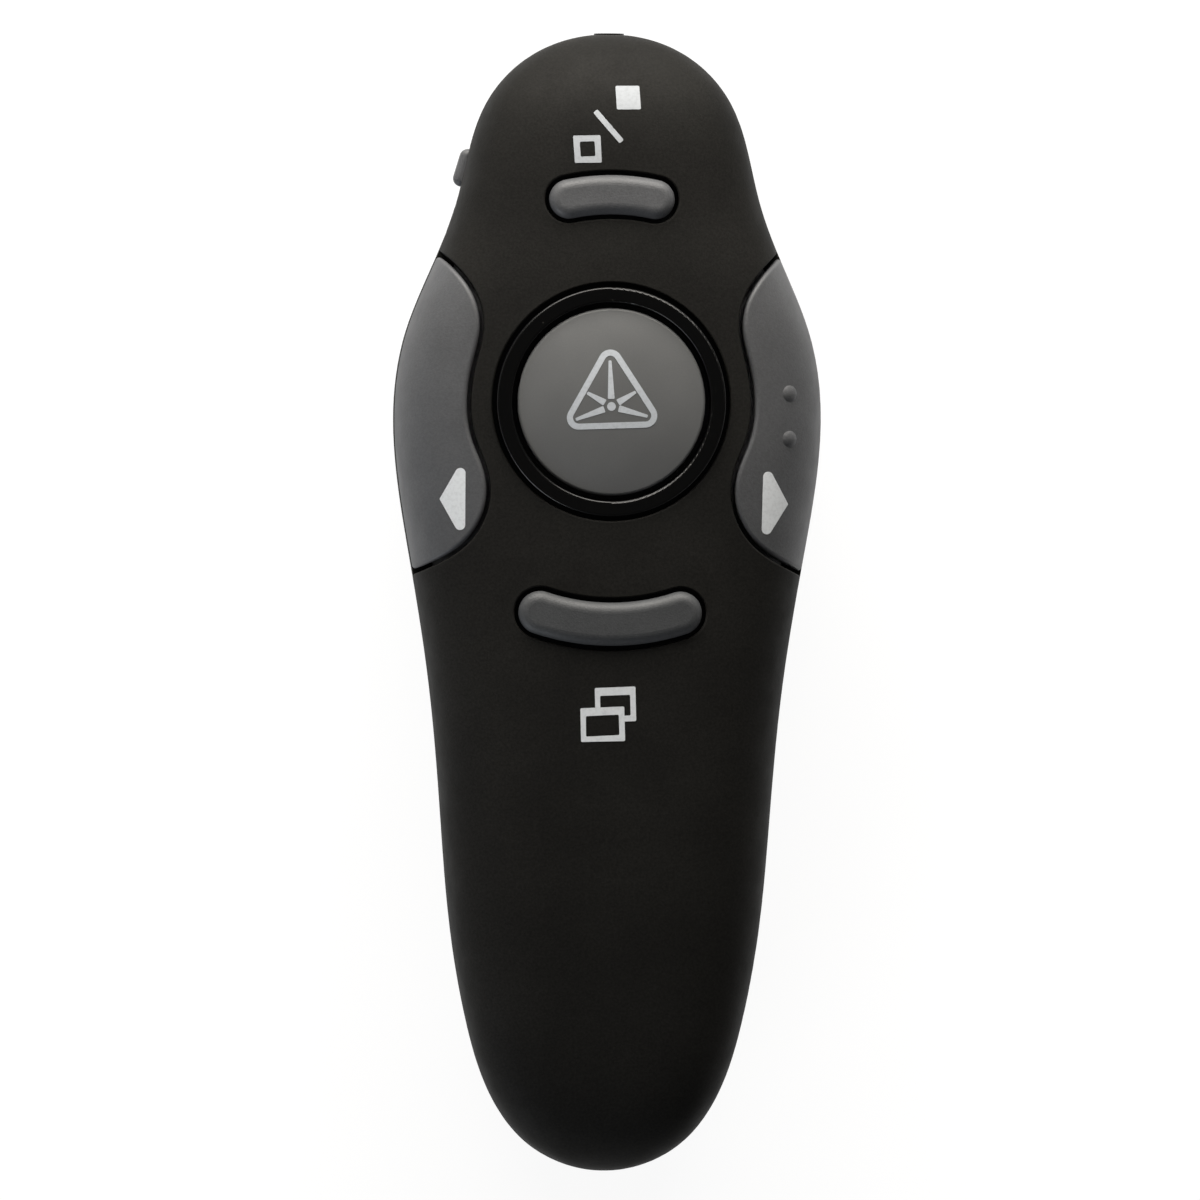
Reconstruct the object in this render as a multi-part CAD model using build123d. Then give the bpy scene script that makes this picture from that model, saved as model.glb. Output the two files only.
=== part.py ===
from build123d import *
import functools
import math
import os

# Hand-held wireless presentation clicker, lying on its back.
# Millimetres. +Z points out of the button face, +Y towards the laser end, +X to the
# right when the buttons are looked at. The origin is under the middle, on the rest plane.

# ---------------------------------------------------------------- housing form
LENGTH = 124.0
HEAD_RADIUS = 15.2          # plan radius of the laser end
TAIL_RADIUS = 13.3          # plan radius of the tail end
HEAD_POWER = 2.1            # roundness in plan: 2 is an arc, more is blunter
TAIL_POWER = 2.0
HEAD_RISE = 11.8            # height of the housing above the parting plane, laser end
TAIL_RISE = 9.4
HEAD_DEPTH = 12.3           # depth below the parting plane, laser end
TAIL_DEPTH = 11.6
PARTING_Z = 13.0            # height of the joint between the two shells
WALL = 2.0
TIP_ANGLES = (30, 48, 63, 76, 88)   # sections of a rounded end, degrees round its plan arc
TIP_POWER = 0.75            # how bluntly the ends close, seen from the side
TOP_FULLNESS = 0.82         # 0.55 is an ellipse, 1 a rectangle
BACK_FULLNESS = 0.86

# Cross-sections between the two rounded ends: share of the way from the tail arc's centre to
# the head arc's centre, half width, rise above and depth below the parting plane.
WAIST = (
    (0.032, 15.08, 10.3, 13.0),
    (0.134, 16.82, 11.4, 13.6),
    (0.281, 18.08, 12.5, 13.8),
    (0.417, 19.32, 13.1, 13.8),
    (0.554, 21.38, 13.4, 13.8),
    (0.649, 22.86, 13.5, 13.8),
    (0.733, 23.32, 13.4, 13.8),
    (0.817, 22.08, 13.1, 13.7),
    (0.906, 18.67, 12.6, 13.3),
    (0.969, 16.50, 12.1, 12.8),
)

# ---------------------------------------------------------------- clearances
BUTTON_GAP = 0.45           # between a button's side and its opening
SLIDE_GAP = 0.3             # between parts that slide or rest close together
FIT_GAP = 0.05              # between a seated part and its seat
OPENING_ROUND = 0.2         # softened rim of each opening in the top shell
EDGE_ROUND = 0.35           # softened edge of a small piece
SEAM_DEPTH = 0.25           # shadow line round the joint between the two shells
SEAM_HEIGHT = 0.3

# ---------------------------------------------------------------- buttons
THUMB_SETBACK = 40.2        # thumb button's centre, back from the laser end
THUMB_RADIUS = 10.2
THUMB_PROUD = 1.0           # dome's crown above the housing
THUMB_DOME = 1.1            # dome's own height
RING_INNER_RADIUS = 10.8
RING_OUTER_RADIUS = 12.45
RING_PROUD = 0.35
RING_ROUND = 0.25           # rounding of the ring's two upper edges
RING_DEPTH = 4.6
RING_SEAT_GAP = 0.5
BUTTON_TRAVEL = 0.5
RETAINER_OVERLAP = 0.8      # width of the rim that holds a button behind its opening
RETAINER_THICKNESS = 0.9
BAND_ROUND = 1.2            # rounding of a band button's upper edge
BLANK_ARC_RADIUS = 22.5     # middle line of the blank-screen button, about the thumb centre
BLANK_HALF_ANGLE = 12.0
BLANK_WIDTH = 4.3
BLANK_PROUD = 0.9
WINDOW_ARC_RADIUS = 24.15
WINDOW_HALF_ANGLE = 18.4
WINDOW_WIDTH = 4.7
WINDOW_PROUD = 0.9
PAD_INNER_EDGE = (          # right side pad: distance from the centre line, and from the thumb
    (22.35, 19.8), (16.35, 14.35), (14.2, 10.7), (13.85, 8.0), (14.65, 4.0), (15.2, 0.0),
    (14.65, -4.05), (13.4, -7.35), (13.05, -9.8), (13.5, -12.4), (15.6, -15.65),
    (18.2, -17.45), (23.9, -20.1),
)
PAD_LIFT = 2.2              # lower edge of a pad above the parting plane
PAD_ROUND = 0.4
PAD_SKIRT = 1.4             # how far a pad reaches down behind the housing's side
BUMP_RADIUS = 0.85
BUMP_PROUD = 0.24
BUMP_X = 19.55
BUMP_OFFSETS = (0.95, -3.9)     # along Y from the thumb centre

# ---------------------------------------------------------------- batteries
BATTERY_RADIUS = 5.25
BATTERY_LENGTH = 44.5
BATTERY_NUB_RADIUS = 2.6
BATTERY_NUB_LENGTH = 1.0
BATTERY_SPACING = 10.9
TUB_SETBACK = 29.0          # inner end of the battery tub, in from the tail
TUB_WALL = 1.2
TUB_SIDE_GAP = 0.5
TUB_ROOF = 1.1
FLOOR = 2.0                 # floor of the back shell, on its flat
CONTACT_THICKNESS = 0.4
CONTACT_WIDTH = 8.0
CONTACT_TAB_WIDTH = 3.0
SPRING_LENGTH = 4.4
SPRING_WIRE_RADIUS = 0.25
SPRING_BASE_RADIUS = 3.3
SPRING_CONE_ANGLE = 12.0
SPRING_TURNS = 4

# ---------------------------------------------------------------- battery door
DOOR_THICKNESS = 1.5
DOOR_GAP = 0.3
DOOR_MARGIN = 1.6           # how far the door covers the tub's walls
DOOR_CORNER = 3.0
LEDGE_THICKNESS = 1.2
TAB_WIDTH = 5.0
TAB_SPACING = 14.0
TAB_REACH = 1.2
TAB_THICKNESS = 0.8
LATCH_WIDTH = 9.0
LATCH_SLIT = 0.6
LATCH_LENGTH = 6.0
NAIL_NOTCH_RADIUS = 5.0

# ---------------------------------------------------------------- circuit board
BOARD_THICKNESS = 1.6
BOARD_ROOM = 2.0            # space between the tub's roof and the board
BOARD_GAP = 1.7             # from the housing's inner face to the board's edge
BOARD_TAIL_OFFSET = 30.0    # board's tail edge, from the thumb centre
BOARD_HEAD_OFFSET = 33.0
TACT_SIDE = 4.5
TACT_HEIGHT = 2.5
TACT_BORE_DEPTH = 1.3
PLUNGER_RADIUS = 1.6
PLUNGER_TOP = 3.1           # plunger's tip above the board
PLUNGER_LENGTH = 1.1
STEM_RADIUS = 1.9
PAD_STEM_X = 16.7

# ---------------------------------------------------------------- components under the board
CONTROLLER_SIZE = (4.4, 6.4, 1.2)       # width, length and height
CONTROLLER_LEGS = 6                     # along each side
CONTROLLER_OFFSET = 1.2                 # along Y from the thumb centre
RADIO_SIZE = (3.0, 3.0, 0.9)
RADIO_LEGS = 4
RADIO_OFFSET = 2.8
CRYSTAL_SIZE = (2.5, 3.2, 0.8)
CRYSTAL_OFFSET = -1.8
PASSIVE_SIZE = (1.0, 1.8, 0.7)
PASSIVE_OFFSETS = (-3.6, -0.9, 1.8, 4.5)    # along Y, in a row outside each column of chips
COMPONENT_GAP = 1.0         # between components, and from a contact's leg

# ---------------------------------------------------------------- printed antenna
ANTENNA_STRIP = 0.7
ANTENNA_THICKNESS = 0.08
ANTENNA_PITCH = 2.0
ANTENNA_RUNS = 5
ANTENNA_REACH = 5.0
ANTENNA_X = 4.5

# ---------------------------------------------------------------- screws
SCREW_RADIUS = 0.95
SCREW_LENGTH = 14.0
SCREW_HEAD_RADIUS = 1.9
SCREW_HEAD_HEIGHT = 1.3
SCREW_HEAD_DEPTH = 4.5      # height of the screw head's seat above the rest plane
BOSS_RADIUS = 2.6
HEAD_SCREW_X = 10.8
HEAD_SCREW_OFFSET = 13.0    # from the thumb centre
TAIL_SCREW_X = 11.3
TAIL_SCREW_SETBACK = 21.0
BOARD_SCREW_RADIUS = 0.7
BOARD_SCREW_LENGTH = 4.4
BOARD_SCREW_HEAD_RADIUS = 1.6
BOARD_SCREW_HEAD_HEIGHT = 1.0
BOARD_BOSS_RADIUS = 1.9
BOARD_SCREW_PLACES = ((-8.6, -13.9), (8.6, -13.9), (0.0, 15.4))     # from the thumb centre
RECESS_DEPTH = 0.6

# ---------------------------------------------------------------- laser
APERTURE_RADIUS = 1.0
BEZEL_RADIUS = 1.65
BEZEL_PROUD = 0.1
BEZEL_FLANGE_RADIUS = 2.4
BEZEL_FLANGE_THICKNESS = 0.8
WINDOW_THICKNESS = 0.6
BARREL_RADIUS = 3.0
BARREL_LENGTH = 12.0
BARREL_BORE_RADIUS = 2.0
BARREL_BORE_DEPTH = 5.0
LENS_THICKNESS = 1.4
LENS_CROWN = 0.4
CRADLE_THICKNESS = 1.2
CRADLE_WIDTH = 9.0
DRIVER_LENGTH = 5.0
LEAD_RADIUS = 0.25
LEAD_SPACING = 2.0
LEAD_REACH = 2.0

# ---------------------------------------------------------------- power switch
SLIDER_SETBACK = 14.6
SLIDER_LENGTH = 4.1
SLIDER_HEIGHT = 2.4
SLIDER_PROUD = 1.15         # beyond the housing's side, all along the knob
SLIDER_END_ROUND = 0.9      # seen from above
SLIDER_RIM_ROUND = 0.7      # seen from the side
SLIDER_DROP = 1.6           # knob's middle below the parting plane
SLIDER_TRAVEL = 2.0
SLIDER_PLATE_X = 11.0
SLIDER_PLATE_LENGTH = 9.0
SLIDER_PLATE_THICKNESS = 1.0
SWITCH_LENGTH = 8.6
SWITCH_WIDTH = 3.5
SWITCH_HEIGHT = 4.0
SWITCH_X = 5.0
LEVER_LENGTH = 1.5
LEVER_HEIGHT = 1.2
LEVER_REACH = 2.2
PRONG_THICKNESS = 0.8

# ---------------------------------------------------------------- stowed USB receiver
PLUG_LENGTH = 12.0
PLUG_WIDTH = 12.0
PLUG_HEIGHT = 4.5
PLUG_SHEET = 0.3
TONGUE_THICKNESS = 1.8
RECEIVER_LENGTH = 6.0
RECEIVER_WIDTH = 13.6
RECEIVER_HEIGHT = 5.6
RECEIVER_LIFT = 2.4
BAY_WALL = 1.0

# ---------------------------------------------------------------- derived places
tail_y = -LENGTH / 2
head_y = LENGTH / 2
thumb_y = head_y - THUMB_SETBACK
tub_tail_y = tail_y + TUB_SETBACK
tub_head_y = (tub_tail_y + 2 * CONTACT_THICKNESS + SPRING_LENGTH + FIT_GAP
              + BATTERY_LENGTH + SLIDE_GAP)
battery_z = FLOOR + SLIDE_GAP + BATTERY_RADIUS
tub_roof_z = battery_z + BATTERY_RADIUS + SLIDE_GAP
tub_half_width = BATTERY_SPACING / 2 + BATTERY_RADIUS + TUB_SIDE_GAP
board_z = tub_roof_z + TUB_ROOF + BOARD_ROOM
board_top_z = board_z + BOARD_THICKNESS
plunger_tip_z = board_top_z + PLUNGER_TOP
pad_pocket_z = board_top_z + TACT_HEIGHT + BUTTON_TRAVEL + SLIDE_GAP     # room over a switch
retainer_inset = WALL + SLIDE_GAP
cap_inset = retainer_inset + RETAINER_THICKNESS
slider_y = head_y - SLIDER_SETBACK
slider_z = PARTING_Z - SLIDER_DROP
door_half_width = tub_half_width + DOOR_MARGIN
door_tail_y = tub_tail_y - TUB_WALL
door_head_y = tub_head_y + TUB_WALL + TAB_REACH
bay_head_y = door_tail_y - DOOR_GAP - BAY_WALL
bay_tail_y = bay_head_y - PLUG_LENGTH - RECEIVER_LENGTH - 2 * SLIDE_GAP
barrel_front_y = head_y - WALL - BEZEL_FLANGE_THICKNESS - SLIDE_GAP
component_x = (BATTERY_SPACING + CONTACT_TAB_WIDTH) / 2 + COMPONENT_GAP
TALL = 100.0                # reach of cutting blocks, well past the housing


# ---------------------------------------------------------------- housing form
def end_stations(centre_y, radius, power, rise, depth, way, inset):
    """Sections round one rounded end, from its arc's centre out to its tip."""
    rows = []
    for angle in TIP_ANGLES:
        reach = (radius - inset) * math.sin(math.radians(angle)) ** (2 / power)
        share = math.cos(math.radians(angle))
        fall = share ** TIP_POWER
        rows.append((centre_y + way * reach, (radius - inset) * share ** (2 / power),
                     (rise - inset) * fall, (depth - inset) * fall))
    return rows


def stations(inset):
    """Every section of the form, tail to head: Y, half width, rise and depth."""
    tail_centre = tail_y + TAIL_RADIUS
    head_centre = head_y - HEAD_RADIUS
    rows = end_stations(tail_centre, TAIL_RADIUS, TAIL_POWER, TAIL_RISE, TAIL_DEPTH, -1,
                        inset)[::-1]
    for share, half, rise, depth in WAIST:
        y = tail_centre + share * (head_centre - tail_centre)
        rows.append((y, half - inset, rise - inset, depth - inset))
    rows += end_stations(head_centre, HEAD_RADIUS, HEAD_POWER, HEAD_RISE, HEAD_DEPTH, 1,
                         inset)
    return rows


def section(y, half, rise, depth):
    """One closed cross-section: four quarter curves that meet at the parting plane."""
    quarters = []
    for side, height, fullness in ((1, rise, TOP_FULLNESS), (-1, rise, TOP_FULLNESS),
                                   (-1, -depth, BACK_FULLNESS), (1, -depth, BACK_FULLNESS)):
        quarters.append(Bezier((side * half, 0), (side * half, fullness * height),
                               (side * fullness * half, height), (0, height)))
    plane = Plane(origin=(0, y, PARTING_Z), x_dir=(1, 0, 0), z_dir=(0, -1, 0))
    return plane * make_face(Curve() + quarters)


@functools.cache
def form(inset):
    """The housing's outer form, drawn in by an inset all round."""
    return loft([section(*row) for row in stations(inset)])


def half_width(y):
    """Half width of the housing at the parting plane."""
    rows = stations(0)
    for (y0, w0, _, _), (y1, w1, _, _) in zip(rows, rows[1:]):
        if y0 <= y <= y1:
            return w0 + (w1 - w0) * (y - y0) / (y1 - y0)
    return 0.0


def block(x, y, z):
    """A box given by its lowest and highest X, Y and Z."""
    size = (x[1] - x[0], y[1] - y[0], z[1] - z[0])
    middle = (sum(x) / 2, sum(y) / 2, sum(z) / 2)
    return Pos(*middle) * Box(*size)


def rod(x, y, z0, z1, radius):
    """A round bar along Z."""
    return Pos(x, y, (z0 + z1) / 2) * Cylinder(radius, z1 - z0)


def bar_along_y(x, z, y0, y1, radius):
    """A round bar along Y."""
    return Pos(x, (y0 + y1) / 2, z) * Rot(90, 0, 0) * Cylinder(radius, y1 - y0)


def prism(face, z0, z1):
    """A flat outline raised from one height to another."""
    return extrude(Pos(0, 0, z0) * face, z1 - z0)


def above(z):
    """Everything over a height."""
    return block((-TALL, TALL), (-TALL, TALL), (z, TALL))


def mirrored(part):
    """The same piece on the other side of the centre line."""
    return mirror(part, Plane.YZ)


# ---------------------------------------------------------------- button outlines
def band_outline(arc_radius, half_angle, width, upward):
    """A curved slot about the thumb centre, above it or below it."""
    middle = 90 if upward else -90
    line = CenterArc((0, 0), arc_radius, middle - half_angle, 2 * half_angle)
    return Pos(0, thumb_y) * SlotArc(line, width)


def blank_outline(growth):
    """Blank-screen button's outline, widened by a growth on each side."""
    return band_outline(BLANK_ARC_RADIUS, BLANK_HALF_ANGLE, BLANK_WIDTH + 2 * growth, True)


def window_outline(growth):
    """Window-switch button's outline, widened by a growth on each side."""
    return band_outline(WINDOW_ARC_RADIUS, WINDOW_HALF_ANGLE, WINDOW_WIDTH + 2 * growth, False)


def pad_outline(growth):
    """Right side pad's outline: a wavy inner edge, open past the housing's side."""
    last = len(PAD_INNER_EDGE) - 1
    points = []
    for number, (x, y) in enumerate(PAD_INNER_EDGE):
        x0, y0 = PAD_INNER_EDGE[max(number - 1, 0)]
        x1, y1 = PAD_INNER_EDGE[min(number + 1, last)]
        run = math.hypot(x1 - x0, y1 - y0)
        points.append((x + growth * (y1 - y0) / run, thumb_y + y - growth * (x1 - x0) / run))
    far = TALL / 2
    outside = Polyline(points[-1], (far, points[-1][1]), (far, points[0][1]), points[0])
    return make_face(Curve() + [Spline(*points), outside])


# ---------------------------------------------------------------- shells
def head_screw_places():
    """Centres of the two housing screws near the laser end."""
    return [(side * HEAD_SCREW_X, thumb_y + HEAD_SCREW_OFFSET) for side in (-1, 1)]


def tail_screw_places():
    """Centres of the two housing screws near the tail."""
    return [(side * TAIL_SCREW_X, tail_y + TAIL_SCREW_SETBACK) for side in (-1, 1)]


def board_screw_places():
    """Centres of the screws that hold the circuit board."""
    return [(x, thumb_y + y) for x, y in BOARD_SCREW_PLACES]


def nose_bore():
    """The hole for the laser's bezel, through the nose on the parting plane."""
    return bar_along_y(0, PARTING_Z, head_y - 3 * WALL, head_y + WALL, BEZEL_RADIUS + FIT_GAP)


def seam():
    """Shallow groove round the housing, just above the parting plane."""
    layer = block((-TALL, TALL), (-TALL, TALL), (PARTING_Z, PARTING_Z + SEAM_HEIGHT))
    return (form(-SEAM_DEPTH) & layer) - form(SEAM_DEPTH)


def top_shell():
    """Upper half with its button openings, seam, screw posts and nose notch."""
    skin = (form(0) & above(PARTING_Z)) - form(WALL)
    skin -= rod(0, thumb_y, PARTING_Z, TALL, RING_OUTER_RADIUS + RING_SEAT_GAP)
    skin -= prism(blank_outline(BUTTON_GAP), PARTING_Z, TALL)
    skin -= prism(window_outline(BUTTON_GAP), PARTING_Z, TALL)
    pad = prism(pad_outline(0), PARTING_Z + PAD_LIFT - BUTTON_TRAVEL - 2 * FIT_GAP, TALL)
    skin -= pad
    skin -= mirrored(pad)
    outer = skin.faces().sort_by(SortBy.AREA)[-1]
    rims = [edge for edge in outer.edges() if edge.center().Z > PARTING_Z + PAD_LIFT]
    skin = fillet(rims, OPENING_ROUND)
    skin -= seam()
    for x, y in head_screw_places() + tail_screw_places():
        post = rod(x, y, PARTING_Z, TALL, BOSS_RADIUS) & form(WALL / 2)
        pilot = rod(x, y, 0, SCREW_HEAD_DEPTH + SCREW_LENGTH + SLIDE_GAP,
                    SCREW_RADIUS + FIT_GAP)
        skin = skin + post - pilot
    for x, y in board_screw_places():
        post = rod(x, y, board_top_z, TALL, BOARD_BOSS_RADIUS) & form(WALL / 2)
        pilot = rod(x, y, 0, board_z + BOARD_SCREW_LENGTH + SLIDE_GAP,
                    BOARD_SCREW_RADIUS + FIT_GAP)
        skin = skin + post - pilot
    return skin - nose_bore()


def door_outline(growth):
    """The battery door's rounded outline, widened by a growth on each side."""
    width = 2 * (door_half_width + growth)
    length = door_head_y - door_tail_y + 2 * growth
    middle = (door_head_y + door_tail_y) / 2
    return Pos(0, middle) * RectangleRounded(width, length, DOOR_CORNER + growth)


def tub_cavity():
    """The space for the two cells and their contacts, open at the back."""
    return block((-tub_half_width, tub_half_width), (tub_tail_y, tub_head_y),
                 (-WALL, tub_roof_z))


def battery_tub():
    """Box round the cells, with the ledge that the door closes on."""
    outer = block((-tub_half_width - TUB_WALL, tub_half_width + TUB_WALL),
                  (tub_tail_y - TUB_WALL, tub_head_y + TUB_WALL),
                  (-WALL, tub_roof_z + TUB_ROOF))
    ledge_inset = DOOR_THICKNESS + SLIDE_GAP
    ledge = prism(door_outline(TUB_WALL), 0, PARTING_Z) & form(ledge_inset)
    ledge -= form(ledge_inset + LEDGE_THICKNESS)
    ledge -= block((-TALL, TALL), (tub_head_y + TUB_WALL, TALL), (0, TALL))
    tub = (outer & form(ledge_inset)) + ledge
    tub = tub & above(DOOR_THICKNESS + SLIDE_GAP)
    tub -= tub_cavity()
    for side in (-1, 1):
        slot = CONTACT_TAB_WIDTH / 2 + SLIDE_GAP
        middle = side * BATTERY_SPACING / 2
        tub -= block((middle - slot, middle + slot),
                     (tub_head_y - CONTACT_THICKNESS - SLIDE_GAP, tub_head_y),
                     (tub_roof_z - WALL, tub_roof_z + 2 * TUB_ROOF))
    return tub


def tab_slots():
    """Room in the tub's head wall for the door's two hooks to swing out."""
    slots = Part()
    half = TAB_WIDTH / 2 + DOOR_GAP
    for side in (-1, 1):
        x = side * TAB_SPACING / 2
        slots += block((x - half, x + half),
                       (tub_head_y - FIT_GAP, door_head_y + DOOR_GAP),
                       (0, FLOOR + 2 * TAB_THICKNESS + DOOR_GAP))
    return slots


def receiver_bay():
    """Walls of the pocket for the stowed receiver, and the hollow they leave."""
    half = RECEIVER_WIDTH / 2 + SLIDE_GAP
    roof = RECEIVER_LIFT + RECEIVER_HEIGHT + SLIDE_GAP
    walls = block((-half - BAY_WALL, half + BAY_WALL),
                  (bay_tail_y - BAY_WALL, bay_head_y + BAY_WALL), (-WALL, roof + BAY_WALL))
    hollow = block((-half, half), (bay_tail_y, bay_head_y), (-TALL, roof))
    return walls & form(WALL / 2) & above(0), hollow


def laser_cradle():
    """Two ribs that the laser module lies in."""
    ribs = Part()
    for share in (0.2, 0.8):
        y = barrel_front_y - share * BARREL_LENGTH
        rib = block((-CRADLE_WIDTH / 2, CRADLE_WIDTH / 2),
                    (y - CRADLE_THICKNESS / 2, y + CRADLE_THICKNESS / 2), (0, PARTING_Z))
        ribs += rib & form(WALL / 2)
    bore = bar_along_y(0, PARTING_Z, 0, head_y, BARREL_RADIUS + FIT_GAP)
    return ribs - bore


def slider_slot():
    """Notch in the left side for the power switch's knob."""
    half = SLIDER_LENGTH / 2 + SLIDE_GAP
    return block((-TALL, -SLIDER_PLATE_X),
                 (slider_y - half - SLIDER_TRAVEL, slider_y + half),
                 (slider_z - SLIDER_HEIGHT / 2 - SLIDE_GAP, PARTING_Z))


def bottom_shell():
    """Lower half: flat back, battery tub, receiver pocket, screw columns and laser ribs."""
    low = above(0) - above(PARTING_Z)
    inside = form(WALL) & above(FLOOR)
    shell = (form(0) & low) - inside
    recess = prism(door_outline(DOOR_GAP), -WALL, PARTING_Z) - form(DOOR_THICKNESS + SLIDE_GAP)
    recess += prism(door_outline(DOOR_GAP), -WALL, DOOR_THICKNESS + SLIDE_GAP)
    shell -= recess
    head_strip = block((-door_half_width, door_half_width),
                       (tub_head_y + TUB_WALL, door_head_y + DOOR_GAP), (-WALL, PARTING_Z))
    shell -= head_strip - (form(WALL + FIT_GAP) & above(FLOOR + FIT_GAP))
    shell -= tub_cavity()
    shell = shell + battery_tub() - tab_slots()
    for x, y in head_screw_places() + tail_screw_places():
        shell += rod(x, y, 0, PARTING_Z, BOSS_RADIUS + WALL / 3) & form(WALL / 2)
    walls, hollow = receiver_bay()
    shell = shell + walls - hollow
    for x, y in head_screw_places() + tail_screw_places():
        shell -= rod(x, y, -WALL, TALL, SCREW_RADIUS + 2 * FIT_GAP)
        shell -= rod(x, y, -WALL, SCREW_HEAD_DEPTH, SCREW_HEAD_RADIUS + SLIDE_GAP)
    shell += laser_cradle()
    notch = Pos(0, door_tail_y, -NAIL_NOTCH_RADIUS + DOOR_THICKNESS) * Rot(0, 90, 0)
    shell -= notch * Cylinder(NAIL_NOTCH_RADIUS, LATCH_WIDTH)
    return shell - nose_bore() - slider_slot()


def battery_door():
    """Snap-on cover over the cells, with two hooks at its head and a latch at its tail."""
    door = prism(door_outline(0), 0, PARTING_Z) & form(0)
    flat = above(DOOR_THICKNESS)
    door -= form(DOOR_THICKNESS) & flat
    for side in (-1, 1):
        x = side * TAB_SPACING / 2
        span = (x - TAB_WIDTH / 2, x + TAB_WIDTH / 2)
        foot = (door_head_y - TAB_REACH, door_head_y - FIT_GAP)
        door += block(span, foot, (DOOR_THICKNESS / 2, FLOOR + SLIDE_GAP + TAB_THICKNESS))
        door += block(span, (foot[0], door_head_y + TAB_REACH),
                      (FLOOR + SLIDE_GAP, FLOOR + SLIDE_GAP + TAB_THICKNESS))
        slit_x = side * LATCH_WIDTH / 2
        door -= block((slit_x - LATCH_SLIT / 2, slit_x + LATCH_SLIT / 2),
                      (door_tail_y - WALL, door_tail_y + LATCH_LENGTH), (-WALL, PARTING_Z))
    return door


# ---------------------------------------------------------------- buttons
def capped_button(outline, proud, stem_x, stem_y, rounding):
    """A button that follows the housing's form, with its rim and the stem to its switch."""
    cap = prism(outline(0), board_top_z, TALL) & (Pos(0, 0, proud) * form(0))
    cap -= form(cap_inset)
    cap = fillet(cap.faces().sort_by(Axis.Z)[-1].edges(), rounding)
    rim = prism(outline(BUTTON_GAP + RETAINER_OVERLAP), board_top_z, TALL)
    rim = (rim & form(retainer_inset)) - form(cap_inset)
    stem = rod(stem_x, stem_y, plunger_tip_z, TALL, STEM_RADIUS) & form(WALL)
    return cap + rim + stem


def blank_button():
    """Band button above the thumb button, which blanks the screen."""
    return capped_button(blank_outline, BLANK_PROUD, 0, thumb_y + BLANK_ARC_RADIUS, BAND_ROUND)


def window_button():
    """Band button below the thumb button, which switches windows."""
    return capped_button(window_outline, WINDOW_PROUD, 0, thumb_y - WINDOW_ARC_RADIUS,
                         BAND_ROUND)


def pad_shape():
    """Right side pad: a piece of the housing's own form, with a rim behind the top shell."""
    low = PARTING_Z + PAD_LIFT
    face = prism(pad_outline(-BUTTON_GAP), low, TALL) & form(0)
    upper = face.edges().sort_by(Edge.length)[-1]
    skin = fillet([upper], PAD_ROUND) - form(cap_inset)
    rim = prism(pad_outline(RETAINER_OVERLAP), low - PAD_SKIRT, TALL)
    rim = (rim & form(retainer_inset)) - form(cap_inset)
    room = TACT_SIDE / 2 + SLIDE_GAP
    pocket = block((PAD_STEM_X - room, PAD_STEM_X + room), (thumb_y - room, thumb_y + room),
                   (0, pad_pocket_z))
    stem = rod(PAD_STEM_X, thumb_y, plunger_tip_z, TALL, STEM_RADIUS) & form(retainer_inset)
    return skin + rim - pocket + stem


def surface_height(x, y):
    """Height of the housing's outer face over a point in plan."""
    needle = rod(x, y, PARTING_Z, TALL, FIT_GAP) & form(0)
    return needle.bounding_box().max.Z


def forward_pad():
    """Right pad, which goes to the next slide, with two bumps that the thumb finds."""
    pad = pad_shape()
    sphere = (BUMP_RADIUS ** 2 + BUMP_PROUD ** 2) / (2 * BUMP_PROUD)
    sunk = sphere - BUMP_PROUD
    for offset_y in BUMP_OFFSETS:
        y = thumb_y + offset_y
        fall = surface_height(BUMP_X - BUMP_RADIUS, y) - surface_height(BUMP_X + BUMP_RADIUS, y)
        tilt = math.atan2(fall, 2 * BUMP_RADIUS)
        ball = Pos(BUMP_X - sunk * math.sin(tilt), y,
                   surface_height(BUMP_X, y) - sunk * math.cos(tilt)) * Sphere(sphere)
        pad += ball & above(pad_pocket_z)
    return pad


def back_pad():
    """Left pad, which goes to the slide before."""
    return mirrored(pad_shape())


def ring_top():
    """Height of the bezel ring's upper face."""
    return surface_height(0, thumb_y) + RING_PROUD


def button_ring():
    """Gloss bezel round the thumb button."""
    top = ring_top()
    width = RING_OUTER_RADIUS - RING_INNER_RADIUS
    bar = Pos(RING_INNER_RADIUS + width / 2, top - RING_DEPTH / 2) * Rectangle(width, RING_DEPTH)
    bar = fillet(bar.vertices().group_by(Axis.Y)[-1], RING_ROUND)
    flange = Pos(RING_INNER_RADIUS + width / 2 + RETAINER_OVERLAP / 2, top - RING_DEPTH
                 + RETAINER_THICKNESS / 2)
    profile = bar + flange * Rectangle(width + RETAINER_OVERLAP, RETAINER_THICKNESS)
    return Pos(0, thumb_y, 0) * revolve(Plane.XZ * profile, Axis.Z)


def laser_button():
    """Domed thumb button with a rim that the bezel ring keeps in."""
    crown = surface_height(0, thumb_y) + THUMB_PROUD
    dome = (THUMB_RADIUS ** 2 + THUMB_DOME ** 2) / (2 * THUMB_DOME)
    rim_top = ring_top() - RING_DEPTH - SLIDE_GAP
    body = rod(0, thumb_y, rim_top - RETAINER_THICKNESS, crown, THUMB_RADIUS)
    body &= Pos(0, thumb_y, crown - dome) * Sphere(dome)
    body = fillet(body.faces().sort_by(Axis.Z)[-1].edges(), EDGE_ROUND)
    body -= rod(0, thumb_y, 0, rim_top, THUMB_RADIUS - WALL)
    rim = rod(0, thumb_y, rim_top - RETAINER_THICKNESS, rim_top,
              RING_INNER_RADIUS + RETAINER_OVERLAP)
    rim -= rod(0, thumb_y, 0, TALL, THUMB_RADIUS - WALL)
    stem = rod(0, thumb_y, plunger_tip_z, crown - 2 * WALL, STEM_RADIUS)
    return body + rim + stem


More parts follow.
